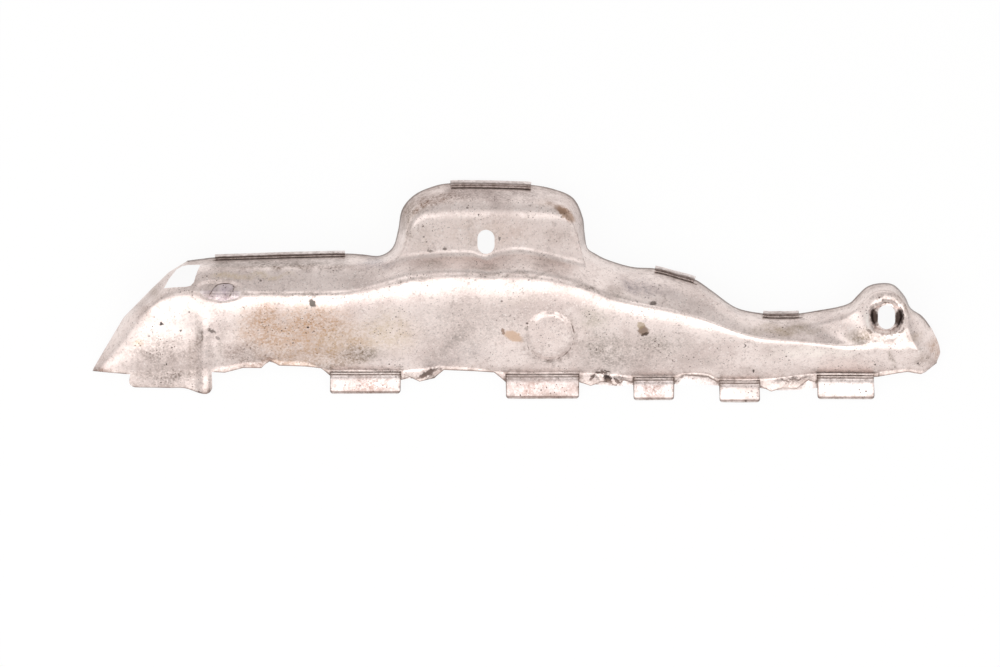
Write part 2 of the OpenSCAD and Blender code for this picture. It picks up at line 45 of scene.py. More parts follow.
MM = 0.001
LAYOUT_UNIT = 0.55
GRID_ORIGIN = (516.38, 291.33)
GROUND_LIFT = 1.33
SHEET_T = 0.5
SKIN_GAP = 0.3
REAR_OFFSET = -(SHEET_T + SKIN_GAP)
FOLD_R = (SHEET_T + SKIN_GAP) / 2
SLOT_W, SLOT_L = 9.4, 13.2
SLOT_AT = (486, 241.8)
CUP_AT = (886.5, 317)

# Form lines: each key is station, grid x, grid y and height in mm. One grid step is LAYOUT_UNIT.
FOLD = [
    (0, 87, 386, 0), (1, 107, 386.5, 0), (2, 129, 387, 0), (3, 170, 387.7, 0), (3.35, 185, 388, 0),
    (3.7, 200, 393, 0), (3.87, 206.5, 393.8, 0), (4, 212, 391.5, 0), (5, 243, 390, 0), (6, 275, 390, 0),
    (7, 305, 390.5, 0), (8, 330, 391, 0), (9, 353.5, 391, 0), (11, 400.5, 391, 0), (13, 444, 393.5, 0),
    (15, 506, 396, 0), (18, 579, 396, 0), (21, 633.5, 397.5, 0), (23, 674, 397.5, 0),
    (25, 719.5, 399.5, 0), (27, 760, 399.5, 0), (30, 817.5, 396.5, 0), (32, 874.5, 396.5, 0),
    (33, 881, 395.5, 0.5), (36, 899, 391, 1), (38, 909, 389, 1.5), (40, 922, 388, 2), (43, 938, 380, 3)]
FOOT = [
    (0, 94, 368, 1), (0.25, 99, 368, 3.5), (0.5, 105, 368.5, 5), (1, 116, 369, 5.5), (2, 131, 370, 6),
    (3, 170, 370, 6), (4, 211.5, 368, 6.5), (5, 243, 362, 6.5), (5.6, 261, 361, 6.5),
    (5.85, 269.5, 356.8, 7.5), (6.1, 279, 360.5, 6), (7, 305.5, 362, 4.5), (8, 330.5, 370, 1.7),
    (9, 354, 370, 1.7), (11, 401, 370.5, 1.7), (13, 444, 366.5, 2.5), (14, 475, 368, 2.2),
    (15, 505.5, 372.3, 1.7), (18, 578.5, 372.5, 1.7), (19.4, 604, 374.5, 1.7), (21, 633, 375.8, 1.6),
    (23, 673.5, 375.8, 1.6), (23.5, 684, 373.3, 1.8), (24.5, 708, 374.5, 1.8), (25, 719, 378.8, 1.6),
    (27, 759.5, 378.8, 1.6), (28.5, 788, 377, 1.7), (30, 817, 373.3, 1.8), (32, 873.5, 373.3, 1.8),
    (33, 880, 371.5, 3), (34, 886, 370.5, 4.5), (36, 898, 369, 6.5), (38, 907.5, 368, 7),
    (40, 920, 369.5, 7), (42, 930, 366, 5), (43, 936.5, 361.5, 3)]
RIDGE = [
    (0, 124, 317.5, 0), (0.25, 130, 315, 11), (0.5, 137, 312, 18), (1, 146, 307, 24.5), (2, 160, 300, 29),
    (3, 180, 297.5, 31.5), (4, 213, 298, 33.5), (5, 248, 299, 35), (6, 284, 300, 36), (7, 316, 300.5, 37),
    (8, 341, 299, 38), (9, 365, 294, 39), (10, 388, 286.5, 40), (11, 407, 281, 41), (12, 426, 279, 42),
    (13, 444, 277.5, 43), (14, 462, 277.5, 43.5), (15, 480, 277.5, 44), (16, 503, 278, 44),
    (17, 528, 279, 44), (18, 552, 282, 43.5), (19, 573, 286.5, 42.5), (20, 590, 292, 41),
    (21, 605, 298, 39), (22, 618, 302.5, 37.5), (23, 637, 307.5, 36), (24, 660, 312.5, 34),
    (25, 684, 318, 31.5), (26, 704, 324, 29.5), (27, 724, 331, 28), (28, 745, 338, 26.5),
    (29, 766, 342, 25.5), (30, 792, 343.5, 25), (31, 817, 345.5, 24.5), (32, 842, 349, 23),
    (33, 862, 350.5, 21.5), (34, 872, 350, 21), (35, 881, 349, 21),
    (36, 888, 347.5, 21), (37, 893, 346.5, 20.5), (38, 899, 346, 20), (39, 906, 346.5, 20.5),
    (40, 913, 348, 21), (41, 919, 349.5, 20), (42, 927, 352, 15), (43, 940, 353, 3)]
VALLEY = [
    (0, 152, 289, 0), (0.25, 156, 289, 9.5), (0.5, 161, 288.5, 16), (1, 168, 286.5, 21.5),
    (2, 180, 284, 25.5), (3, 197, 282, 27.5), (4, 226, 281, 28.5), (5, 260, 280.5, 29.5),
    (6, 296, 280, 30.5), (7, 330, 279, 31.5), (8, 352, 277, 31), (9, 374, 272, 29.5),
    (10, 393, 265, 27), (11, 403, 259.5, 26), (12, 412, 257.5, 26),
    (13, 430, 255.5, 26), (14, 452, 254.5, 26), (15, 472, 255, 26), (15.6, 485, 259.2, 26),
    (16, 497, 254.5, 26), (17, 519, 251, 26), (18, 545, 255.5, 26), (19, 566, 261, 26), (20, 576, 263, 25.5),
    (21, 584, 266, 25), (22, 592, 270.5, 24), (23, 614, 278, 23.5), (24, 640, 284, 23), (25, 665, 289, 22.5),
    (26, 687, 295, 22), (27, 708, 303, 21), (28, 728, 313.5, 20),
    (29, 751, 323.5, 19), (30, 778, 329, 18), (31, 800, 331, 17.5), (32, 824, 331.5, 18),
    (33, 845, 333, 20), (34, 857, 331, 21), (35, 867, 328, 22),
    (36, 874, 324, 22), (37, 880, 320, 22), (38, 887, 317, 22), (39, 895, 318, 22), (40, 903, 324, 22),
    (41, 910, 329, 21.5), (42, 921, 337, 17), (43, 939, 346, 4)]
SHOULDER = [
    (0, 169, 272.5, 0), (0.25, 171, 273, 7), (0.5, 174.5, 272.5, 12), (1, 180, 271.5, 17),
    (2, 192, 270, 21), (3, 207, 268.5, 23.5), (4, 234, 268, 24.5), (5, 267, 267.5, 25),
    (6, 303, 267, 25.5), (7, 339, 266.5, 26), (8, 357, 266.5, 26), (9, 378, 264, 25.5),
    (10, 396, 257.5, 25), (11, 404.5, 243, 25.3),
    (12, 409, 223, 26), (13, 420, 208.5, 26), (14, 437, 205, 26), (15, 455, 204, 26), (16, 480, 203.5, 26),
    (17, 506, 204, 26), (18, 530, 205, 26), (19, 550, 207, 26), (20, 567, 212.5, 26), (21, 576, 228, 26),
    (21.5, 578, 243, 25), (22, 582.5, 257, 22), (22.5, 594, 265, 19.5), (23, 609, 270, 18.5),
    (24, 635, 277, 17), (25, 659, 279.5, 17), (26, 680, 285, 16.5),
    (27, 700, 292, 16), (28, 718, 302, 15), (29, 741.5, 316.5, 14.5), (30, 767, 322, 14), (31, 787, 323, 14),
    (32, 806, 322.5, 14.5), (33, 826, 320, 16), (34, 843, 316, 19), (35, 856, 309.5, 21.5),
    (36, 864.5, 300.5, 22), (37, 872, 293.5, 22), (38, 880.5, 290.5, 22), (39, 891.5, 291.5, 22),
    (40, 901.5, 299.5, 22), (41, 908, 311, 21.5), (42, 918.5, 322, 16), (43, 936, 338, 4)]
RIM = [
    (0, 188, 261, 0.3), (1, 193, 260.3, 0.3), (2, 201, 259.3, 0.3), (3, 215, 257.7, 0.3),
    (4, 240, 256.8, 0.3), (5, 272, 255.7, 0.3), (6, 308, 254.6, 0.3), (7, 345, 253.9, 0.3),
    (8, 362, 254.8, 0.3), (9, 380, 256, 0.3), (10, 393, 247.5, 0.3), (11, 398.5, 230, 0.3),
    (12, 402.5, 209.5, 0.3), (13, 415, 195, 0.3), (14, 434, 186.6, 0.3),
    (15, 450.5, 183.6, 0.3), (16, 477, 183.4, 0.3), (17, 505, 184, 0.3), (18, 531, 185.2, 0.3),
    (19, 554, 189.6, 0.3), (20, 573, 198.5, 0.3), (21, 582.5, 218, 0.3), (21.5, 584.3, 234, 0.3),
    (22, 587, 248, 0.3), (22.5, 595, 254, 0.3), (23, 607, 260, 0.3),
    (24, 632, 267.3, 0.3), (25, 655, 268.9, 0.3), (26, 675, 274, 0.3), (27, 694.5, 279.6, 0.3),
    (28, 712, 291.3, 0.3), (29, 736, 308, 0.3), (30, 763, 313.8, 0.3), (31, 781, 314.3, 0.3),
    (32, 799, 313.8, 0.3), (33, 820, 310.5, 1),
    (34, 838, 307.3, 2.5), (35, 850, 303.2, 4), (36, 858, 295.5, 5), (37, 867, 287.2, 6), (38, 879, 283.7, 6),
    (39, 893, 285, 6), (40, 904, 296, 7), (41, 910.5, 308.5, 7.5), (42, 922, 316.5, 6), (43, 931.5, 329, 4)]
# Grid y of the trimmed lower edge: station, front skin, rear skin.
TRIM = [
    (0, 371, 370), (1, 372.8, 372), (2, 374, 374), (3, 374, 374), (4, 371.8, 371), (4.4, 372.5, 371.5),
    (5, 367.8, 367), (5.6, 367.9, 367), (5.85, 360.2, 362), (6.1, 365.5, 365), (7, 366.4, 366),
    (7.6, 368.2, 368), (8, 374.5, 376), (9, 376, 376), (10, 376, 376), (11, 380, 380), (11.4, 377, 378.5),
    (11.9, 381.6, 379), (12.6, 378, 374), (13, 369.8, 369.5), (14, 371.2, 371), (14.6, 372.4, 372.4),
    (15, 382, 382), (18, 382, 382), (18.6, 385.8, 384), (19.4, 381, 385.5), (20, 385.4, 386),
    (20.5, 380.5, 386), (21, 382.3, 385), (22, 383, 384), (23, 382.3, 384.5), (23.5, 375.3, 384.6),
    (24.5, 377, 384.6), (25, 383.7, 386), (26, 386, 386), (27, 386, 388), (27.6, 391.5, 390),
    (28.2, 388.2, 390.5), (29, 388.6, 390), (29.6, 380, 389), (30, 383, 388), (31, 380, 380),
    (32, 377, 377), (33, 376.3, 376), (34, 375.2, 375), (36, 373, 373), (38, 371.7, 371.5),
    (40, 374, 373.5), (41, 371.8, 371.5), (42, 368, 368), (43, 363, 363)]
# Waves of the front skin's lower edge: station, lift off the rear skin in mm.
WAVES = [
    (0, 0), (5, 0), (5.6, 0.5), (5.85, 0), (6.1, 0.4), (7, 0), (11, 0), (11.4, 0.8), (11.9, 0.1),
    (12.6, 1), (13, 0), (15, 0), (18, 0), (18.6, 0.2), (19.4, 1.4), (20, 0.2), (20.5, 0.7),
    (21, 0), (23, 0), (23.5, 0.6), (24.5, 0.5), (25, 0), (27, 0), (27.6, 0.2), (28.2, 1.2),
    (29, 1), (29.6, 0.3), (30, 0), (43, 0)]
# Length of the rounding at each corner: station, ridge towards the face, ridge towards the valley,
# valley, shoulder.
BENDS = [
    (0, 2, 2, 1, 1), (1, 11, 7, 3, 3), (3, 18, 8, 4, 4), (9, 20, 8, 4, 5), (12, 22, 8, 3.5, 7),
    (14, 22, 8, 3.5, 10), (18, 20, 8, 3.5, 10), (20, 20, 8, 3.5, 7), (22, 20, 8, 4, 4.5), (24, 22, 7, 5, 5),
    (27, 24, 5, 5, 5), (30, 24, 4, 5, 5), (33, 16, 5, 4, 4), (35, 5, 5, 3, 1.2), (41, 5, 5, 3, 1.2),
    (42, 4, 4, 2, 2), (43, 1, 1, 1, 1)]
# Folded tabs: first and last station, length from the fold.
TABS = [(8, 11, 10.4), (15, 18, 12), (21, 23, 11), (25, 27, 10.4), (30, 32, 11.6)]
HEMS = [(3, 7), (15, 18), (25, 27), (30, 32)]
LUG = (2, 4)
# Stations that a column has to meet: ends of tabs, notches and waves of the trimmed edge.
FIXED_STATIONS = [
    0, 0.25, 0.5, 1, 2, 3, 3.35, 3.6, 3.8, 4, 4.4, 5, 5.6, 5.85, 6.1, 7, 7.6, 8, 9, 10, 11, 11.4, 11.9,
    12.6, 13, 14, 14.6, 15, 15.6, 16, 17, 18, 18.6, 19.4, 20, 20.5, 21, 21.5, 22, 22.5, 23, 23.5, 24.5,
    25, 26, 27, 27.6, 28.2, 29, 29.6, 30, 31, 32, 33, 34, 35, 36, 37, 38, 39, 40, 41, 42, 42.5, 43]
LAST_STATION = 43
# Steps between columns on the layout grid, and how far inside a tab's ends the extra columns lie.
COLUMN_STEP, BOSS_STEP, LEAST_STEP = 2.9, 1.2, 0.2
BOSS_STATIONS = (35, 41)
CORNER_COLUMNS = np.array([0.3, 0.9, 1.9, 3.3])


def smooth_line(keys, stations):
    """Smooth curve through the keys, as columns of x, y and height at the stations."""
    table = np.array(keys, float)
    marks_and_painted_shade, values = table[:, 0], table[:, 1:]
    before = np.maximum(np.arange(len(marks_and_painted_shade)) - 1, 0)
    after = np.minimum(np.arange(len(marks_and_painted_shade)) + 1, len(marks_and_painted_shade) - 1)
    slopes = (values[after] - values[before]) / (marks_and_painted_shade[after] - marks_and_painted_shade[before])[:, None]
    k = np.clip(np.searchsorted(marks_and_painted_shade, stations, side="right") - 1, 0, len(marks_and_painted_shade) - 2)
    h = (marks_and_painted_shade[k + 1] - marks_and_painted_shade[k])[:, None]
    t = (stations - marks_and_painted_shade[k])[:, None] / h
    return (values[k] * (2 * t**3 - 3 * t**2 + 1) + values[k + 1] * (3 * t**2 - 2 * t**3)
            + slopes[k] * h * (t**3 - 2 * t**2 + t) + slopes[k + 1] * h * (t**3 - t**2))


def straight_line(keys, stations):
    """Straight interpolation between the keys."""
    table = np.array(keys, float)
    return np.stack([np.interp(stations, table[:, 0], column) for column in table[:, 1:].T], 1)


def place(points):
    """Layout grid to millimetres in the frame of the part."""
    x, y, z = np.moveaxis(np.asarray(points, float), -1, 0)
    return np.stack(
        [(x - GRID_ORIGIN[0]) * LAYOUT_UNIT, (GRID_ORIGIN[1] - y) * LAYOUT_UNIT, z + GROUND_LIFT], -1)


def grid_of(points):
    """Millimetres back to x and y of the layout grid."""
    return points[..., 0] / LAYOUT_UNIT + GRID_ORIGIN[0], GRID_ORIGIN[1] - points[..., 1] / LAYOUT_UNIT


def unit(vectors):
    """The same directions with a length of one."""
    return vectors / np.linalg.norm(vectors, axis=-1, keepdims=True)


def mix(a, b, t):
    """From a at 0 to b at 1."""
    return a + (b - a) * t


def corner_rows(before, corner, after, lengths, count):
    """Rows of points round a corner that is rounded over one length on each side."""
    a = mix(corner, before, np.minimum(lengths[0] / np.linalg.norm(before - corner, axis=1), 0.45)[:, None])
    b = mix(corner, after, np.minimum(lengths[1] / np.linalg.norm(after - corner, axis=1), 0.45)[:, None])
    return [mix(mix(a, corner, t), mix(corner, b, t), t) for t in np.linspace(0, 1, count)]


def leg_rows(start, end, count):
    """Rows between two bends, without the two end rows."""
    return [mix(start, end, t) for t in np.linspace(0, 1, count + 2)[1:-1]]


def bump(points, x, y, rx, ry, turn, height):
    """Soft oval rise, or sink where height is below zero, at a place on the layout grid."""
    gx, gy = grid_of(points)
    c, s = math.cos(math.radians(turn)), math.sin(math.radians(turn))
    along = ((gx - x) * c - (gy - y) * s) / rx
    across = ((gx - x) * s + (gy - y) * c) / ry
    return height * np.exp(-(along**2 + across**2))


# Rises and sinks that both skins share: x, y, two radii, turn and height in mm.
DENTS = [
    (242, 338, 6, 26, 0, 0.5), (221, 352, 4.5, 24, 2, -0.5), (303, 340, 14, 30, 5, -0.35),
    (431, 375.5, 6.5, 3, 25, -1.3), (438, 370, 9, 3, 20, 0.8), (420, 377, 6, 3, 30, 0.5),
    (412, 300, 20, 14, 0, 0.35), (455, 345, 26, 12, 10, -0.5), (498, 352, 20, 12, 0, 0.35),
    (620, 345, 22, 14, 0, -0.45), (690, 350, 26, 13, 15, 0.35), (655, 275, 20, 6, 15, 0.4),
    (330, 345, 12, 18, 0, 0.3), (385, 340, 20, 16, 0, -0.3), (790, 368, 22, 6, 5, 0.6),
    (902, 352, 9, 6, 20, 0.9), (893, 362, 5, 12, -5, -0.7), (925, 356, 8, 8, 0, 0.5),
    (150, 345, 18, 18, 0, 0.4), (182, 306, 14, 6, 0, 0.3), (321, 318, 2.2, 14, -8, 0.22),
    (268, 262, 30, 3.5, 0, -0.3), (330, 262, 16, 3.5, 4, 0.3), (610, 285, 16, 5, 15, 0.35)]
# Rises of the front skin alone.
FRONT_WAVES = [
    (606, 378, 12, 5.5, 0, 2.6), (596, 376, 5, 3, 20, 0.5), (618, 382, 4, 4, 0, 0.7),
    (793, 380, 16, 5, 8, 1.8), (779, 386, 4, 4, 0, 0.6), (433, 380, 7, 3, 20, 0.7),
    (560, 378, 20, 3, 0, 0.25), (700, 376, 12, 3, 0, 0.5), (264, 361, 6, 4, 0, 0.5)]
FRONT_GROOVES = [
    (600, 378, 2.4, 5, 50, -1.7), (608, 379, 2.6, 5.5, -35, -2.2), (800, 380, 2.5, 4, 60, -1.0),
    (786, 382, 2, 4, -40, -0.9)]


def column_stations():
    """Stations of all columns: close together at the right boss, and at the corners of the tabs."""
    fine = np.linspace(0, LAST_STATION, 8601)
    reach = np.maximum.reduce([
        np.abs(np.gradient(smooth_line(line, fine)[:, axis], fine))
        for line in (FOLD, RIDGE, SHOULDER, RIM) for axis in (0, 1)])
    step = np.where((fine > BOSS_STATIONS[0]) & (fine < BOSS_STATIONS[1]), BOSS_STEP, COLUMN_STEP)
    travel = np.concatenate([[0], np.cumsum((reach / step)[1:] * np.diff(fine))])
    stations = []
    for a, b in zip(FIXED_STATIONS[:-1], FIXED_STATIONS[1:]):
        ends = np.interp([a, b], fine, travel)
        count = max(1, round(ends[1] - ends[0]))
        stations += list(np.interp(np.linspace(*ends, count + 1)[:-1], travel, fine))
    fold_x = smooth_line(FOLD, fine)[:, 0]
    for span in TABS + [LUG]:
        for end, side in ((span[0], 1), (span[1], -1)):
            at = np.interp(end, fine, fold_x) + side * CORNER_COLUMNS
            stations += list(np.interp(at, fold_x, fine))
    stations = np.unique(np.round(np.array(stations + [LAST_STATION]), 5))
    fixed = np.isin(stations, np.round(FIXED_STATIONS, 5))
    keep = np.ones(len(stations), bool)
    x = np.interp(stations, fine, fold_x)
    for i in range(1, len(stations)):
        if x[i] - x[i - 1] < LEAST_STEP and not fixed[i]:
            keep[i] = False
    return stations[keep]


STATIONS = column_stations()
# Rows of points round each bend, up the face and on each flat leg between two bends.
RIDGE_ROWS, VALLEY_ROWS, SHOULDER_ROWS, FACE_ROWS, LEG_ROWS = 17, 8, 12, 32, 8
FOOT_BEND = 1.0
# The face bulges most at a third of its height, and by this much where it is FULL_FACE long or more.
FACE_BULGE, FULL_FACE = 1.3, 40
PEAK = 27 / 4


def middle_surface():
    """Columns and rows from the trimmed edge to the rim, once with each skin's own trim."""
    lift = straight_line(WAVES, STATIONS)
    trim = straight_line(TRIM, STATIONS)
    fold, foot = smooth_line(FOLD, STATIONS), smooth_line(FOOT, STATIONS)
    bends = straight_line(BENDS, STATIONS)
    share = ((fold[:, 1] - trim[:, 0]) / (fold[:, 1] - foot[:, 1]))[:, None]
    edge = place(mix(fold, foot, share))
    edge[:, 2] += lift[:, 0] * 0.5
    rear_share = ((fold[:, 1] - trim[:, 1]) / (fold[:, 1] - foot[:, 1]))[:, None]
    rear_edge = place(mix(fold, foot, rear_share))
    foot, ridge, valley, shoulder, rim = [
        place(line) for line in
        (foot, smooth_line(RIDGE, STATIONS), smooth_line(VALLEY, STATIONS),
         smooth_line(SHOULDER, STATIONS), smooth_line(RIM, STATIONS))]
    over_ridge = corner_rows(foot, ridge, valley, bends.T[:2], RIDGE_ROWS)
    in_valley = corner_rows(ridge, valley, shoulder, bends.T[[2, 2]], VALLEY_ROWS)
    over_shoulder = corner_rows(valley, shoulder, rim, bends.T[[3, 3]], SHOULDER_ROWS)
    length = np.linalg.norm(over_ridge[0] - foot, axis=1)
    rise = FACE_BULGE * np.minimum(STATIONS, 1) * np.minimum(length / FULL_FACE, 1) ** 2
    face = []
    for t in np.linspace(0, 1, FACE_ROWS)[1:-1]:
        row = mix(foot, over_ridge[0], t)
        row[:, 2] += PEAK * t * (1 - t) ** 2 * rise
        face.append(row)
    surfaces = []
    for trimmed in (edge, rear_edge):
        rows = [trimmed] + leg_rows(trimmed, foot, 2)
        rows += corner_rows(trimmed, foot, face[1], (FOOT_BEND, FOOT_BEND), 3) + face[1:]
        rows += over_ridge + leg_rows(over_ridge[-1], in_valley[0], LEG_ROWS) + in_valley
        rows += leg_rows(in_valley[-1], over_shoulder[0], LEG_ROWS) + over_shoulder
        rows += leg_rows(over_shoulder[-1], rim, LEG_ROWS) + [rim]
        surfaces.append(np.stack(rows, 1))
    return surfaces


# Upright bead beside the lug: grid x, width on the grid and height in mm of its rise and its groove.
BEAD = [(205, 6, 1.7), (192, 7, -0.8)]
BEAD_TOP_Y, BEAD_FADE = 308, 20


def add_bead(points):
    """Raises the bead, which fades out towards the ridge."""
    x, y = grid_of(points)
    reach = np.clip((y - BEAD_TOP_Y) / BEAD_FADE, 0, 1)
    points[..., 2] += reach * sum(height * np.exp(-((x - at) / wide) ** 2) for at, wide, height in BEAD)


CUP_DEPTH, CUP_MOUTH_R, CUP_FLOOR_R = 5.6, 10.0, 7.5
CUP_SEAT_Z, CUP_SEAT_R, CUP_SEAT_FADE = 22.0, 14.0, 3.0
# Dents of the cup's wall: depth in mm, how many go round, and phase. They lie near one radius.
CUP_DENTS = [(0.28, 5, 0.6), (0.2, 11, 2.1), (0.14, 23, 0)]
CUP_DENTS_R, CUP_DENTS_REACH = 9.6, 1.6
LIP_H, LIP_W, LIP_ANGLE = 0.55, 0.55, 0.9


def press_cup(points):
    """Round cup of the right boss, with the dented wall and the rough lip that wear has given it."""
    x, y = grid_of(points)
    dx, dy = (x - CUP_AT[0]) * LAYOUT_UNIT, (CUP_AT[1] - y) * LAYOUT_UNIT
    angle = np.arctan2(dy, dx)
    ragged = sum(depth * np.sin(number * angle + phase) for depth, number, phase in CUP_DENTS)
    near = CUP_DENTS_REACH - np.abs(np.hypot(dx, dy) - CUP_DENTS_R) / CUP_DENTS_REACH
    r = np.hypot(dx, dy) - ragged * np.clip(near, 0, 1)
    depths = np.interp(
        r, [0, CUP_FLOOR_R - 0.3, CUP_FLOOR_R + 0.5, CUP_MOUTH_R - 0.7, CUP_MOUTH_R + 0.3, CUP_MOUTH_R + 1.2],
        [CUP_DEPTH, CUP_DEPTH, 0.86 * CUP_DEPTH, 0.1 * CUP_DEPTH, 0, 0])
    low_lip = np.exp(-((angle + math.pi / 2) / LIP_ANGLE) ** 2)
    lip = LIP_H * low_lip * np.exp(-((r - CUP_MOUTH_R - 0.1) / LIP_W) ** 2)
    blend = np.clip((CUP_SEAT_R - r) / CUP_SEAT_FADE, 0, 1)
    blend = blend * blend * (3 - 2 * blend)
    seat = CUP_SEAT_Z + GROUND_LIFT
    points[..., 2] = mix(points[..., 2], seat, blend) - depths * (r < CUP_MOUTH_R + 1.2) + lip


# Dish round the window, on the layout grid. Its upper side runs out into the valley.
DISH_AT, DISH_R, DISH_TURN = (220, 291), (25, 11.5), -4
DISH_DEPTH, DISH_WALL = 0.9, 0.16
DISH_TOP_Y, DISH_FADE = 280.5, 3


def press_dish(points):
    """Shallow oval dish round the window."""
    x, y = grid_of(points)
    turn = math.radians(DISH_TURN)
    along = ((x - DISH_AT[0]) * math.cos(turn) - (y - DISH_AT[1]) * math.sin(turn)) / DISH_R[0]
    across = ((x - DISH_AT[0]) * math.sin(turn) + (y - DISH_AT[1]) * math.cos(turn)) / DISH_R[1]
    wall = np.clip((1.0 - np.hypot(along, across)) / DISH_WALL, 0, 1)
    top = np.clip((y - DISH_TOP_Y) / DISH_FADE, 0, 1)
    points[..., 2] -= DISH_DEPTH * wall * wall * (3 - 2 * wall) * top


BUTTON_AT = (549.5, 335.5)
BUTTON_R, BUTTON_H = 13.2, 1.6


def press_button(points):
    """Plain raised round button."""
    x, y = grid_of(points)
    r = np.hypot(x - BUTTON_AT[0], y - BUTTON_AT[1]) * LAYOUT_UNIT
    points[..., 2] += np.interp(
        r, [0, BUTTON_R - 2.2, BUTTON_R - 1.7, BUTTON_R - 0.3, BUTTON_R + 0.2],
        [BUTTON_H, BUTTON_H, 0.94 * BUTTON_H, 0.06 * BUTTON_H, 0])


def grid_normals(points):
    """Outward directions of a grid of points."""
    across = np.gradient(points, axis=0)
    along = np.gradient(points, axis=1)
    return unit(np.cross(across, along))


FOLD_STEPS = 8
HEM_L = 7.0
# The rear skin's flaps end this much short of the front skin's.
FLAP_STEP = 1.4
# A flap rises off its fold to a crown, then falls towards its free edge.
FLAP_CROWN, HEM_CROWN = 0.5, 0.15
CROWN_AT = 0.85
FLAP_ROWS = (0.08, 0.2, 0.34, 0.5, 0.68, 0.85, 0.9, 0.95, 1.0)


def crown(share):
    """Height of a flap over its straight line, as a share of the crown's height."""
    if share < CROWN_AT:
        return 1 - (1 - share / CROWN_AT) ** 2
    return 1 - ((share - CROWN_AT) / (1 - CROWN_AT)) ** 1.25


# Corner radii on the grid of the tabs, and of the lug's left and right end.
TAB_CORNER_R = 3.2
LUG_CORNERS = (7.0, 4.0)
# Grid x from and to where the front skin's lower edge is free to lift, and how fast that starts.
FREE_SPANS = [(580, 630), (405, 500), (680, 714), (764, 813), (245, 325)]
FREE_FADE = 4
# The row of the middle surface that lies at the foot, just above the trimmed edge.
FOOT_ROW = 4


def round_off(near, radius):
    """How far a rounded corner takes the edge back, at a distance from its end."""
    return radius - np.sqrt(radius**2 - np.clip(radius - near, 0, radius) ** 2)


def skin_surface(rear):
    """Middle surface of a skin with its flaps, its outward directions, and which cells are sheet."""
    surface = middle_surface()[1 if rear else 0]
    offset = REAR_OFFSET if rear else 0.0
    add_bead(surface)
    press_cup(surface)
    if not rear:
        press_button(surface)
        press_dish(surface)
    directions = grid_normals(surface)
    middle = surface + directions * offset
    for dent in DENTS:
        middle[..., 2] += bump(surface, *dent)
    if not rear:
        waves = sum(bump(surface, *wave) for wave in FRONT_WAVES)
        grooves = sum(bump(surface, *groove) for groove in FRONT_GROOVES)
        gx, _ = grid_of(surface)
        free = np.zeros_like(gx)
        for a, b in FREE_SPANS:
            inside = np.clip((gx - a) / FREE_FADE, 0, 1) * np.clip((b - gx) / FREE_FADE, 0, 1)
            free = np.maximum(free, inside)
        middle[..., 2] += np.maximum(waves + grooves, 0) * free
    directions = grid_normals(middle)

    count = len(STATIONS)
    base = place(smooth_line(FOLD, STATIONS))
    add_bead(base)
    fold_x = smooth_line(FOLD, STATIONS)[:, 0]
    axis = unit(np.gradient(base, axis=0))
    normal = unit(np.cross(axis, surface[:, FOOT_ROW] - base))
    outward = unit(np.cross(axis, normal))
    tuck, length = np.zeros(count), np.full(count, TABS[0][2])
    for first, last, flap in TABS:
        inside = (STATIONS >= first) & (STATIONS <= last)
        length[inside] = flap
        ends = np.interp([first, last], STATIONS, fold_x)
        near = np.minimum(fold_x - ends[0], ends[1] - fold_x)
        tuck = np.where(inside, round_off(near, TAB_CORNER_R), tuck)
    ends = np.interp(LUG, STATIONS, fold_x)
    inside = (STATIONS >= LUG[0]) & (STATIONS <= LUG[1])
    for near, radius in zip((fold_x - ends[0], ends[1] - fold_x), LUG_CORNERS):
        tuck = np.where(inside, np.maximum(tuck, round_off(near, radius)), tuck)
    tuck = tuck * LAYOUT_UNIT
    start = base - outward * tuck[:, None]
    flap = length - tuck - (FLAP_STEP if rear else 0)

    rim_axis = unit(np.gradient(surface[:, -1], axis=0))
    rim_normal = unit(np.cross(rim_axis, surface[:, -1] - surface[:, -2]))
    rim_outward = unit(np.cross(rim_normal, rim_axis))
    hem = np.full(count, HEM_L - (FLAP_STEP if rear else 0))

    def fold_rows(origin, out, up, flap_length, rise):
        rows, ways = [], []
        for turn in np.linspace(0, math.pi, FOLD_STEPS + 1):
            way = up * math.cos(turn) - out * math.sin(turn)
            rows.append(origin + up * FOLD_R - way * (FOLD_R - offset))
            ways.append(way)
        for share in FLAP_ROWS:
            end = origin + up * (2 * FOLD_R - offset) - out * (flap_length * share)[:, None]
            rows.append(end + up * rise * crown(share))
            ways.append(-up)
        return rows, ways

    lower_rows, lower_ways = fold_rows(start, outward, normal, flap, FLAP_CROWN)
    upper_rows, upper_ways = fold_rows(surface[:, -1], rim_outward, rim_normal, hem, HEM_CROWN)
    points = np.concatenate(
        [np.stack(lower_rows[::-1], 1), middle, np.stack(upper_rows[1:], 1)], axis=1)
    ways = np.concatenate(
        [np.stack(lower_ways[::-1], 1), directions, np.stack(upper_ways[1:], 1)], axis=1)

    below, rows = len(lower_rows), points.shape[1]
    above = below + middle.shape[1]
    middle_of = (STATIONS[1:] + STATIONS[:-1]) / 2
    is_tab = np.zeros(count - 1, bool)
    for first, last, _ in TABS:
        is_tab |= (middle_of > first) & (middle_of < last)
    is_hem = np.zeros(count - 1, bool)
    for first, last in HEMS:
        is_hem |= (middle_of > first) & (middle_of < last)
    is_lug = (middle_of > LUG[0]) & (middle_of < LUG[1])
    sheet = np.zeros((count - 1, rows - 1), bool)
    sheet[:, below:above - 1] = True
    sheet[is_tab, :below] = True
    sheet[is_lug, below - 1] = True
    sheet[is_hem, above - 1:] = True
    return points, ways, sheet


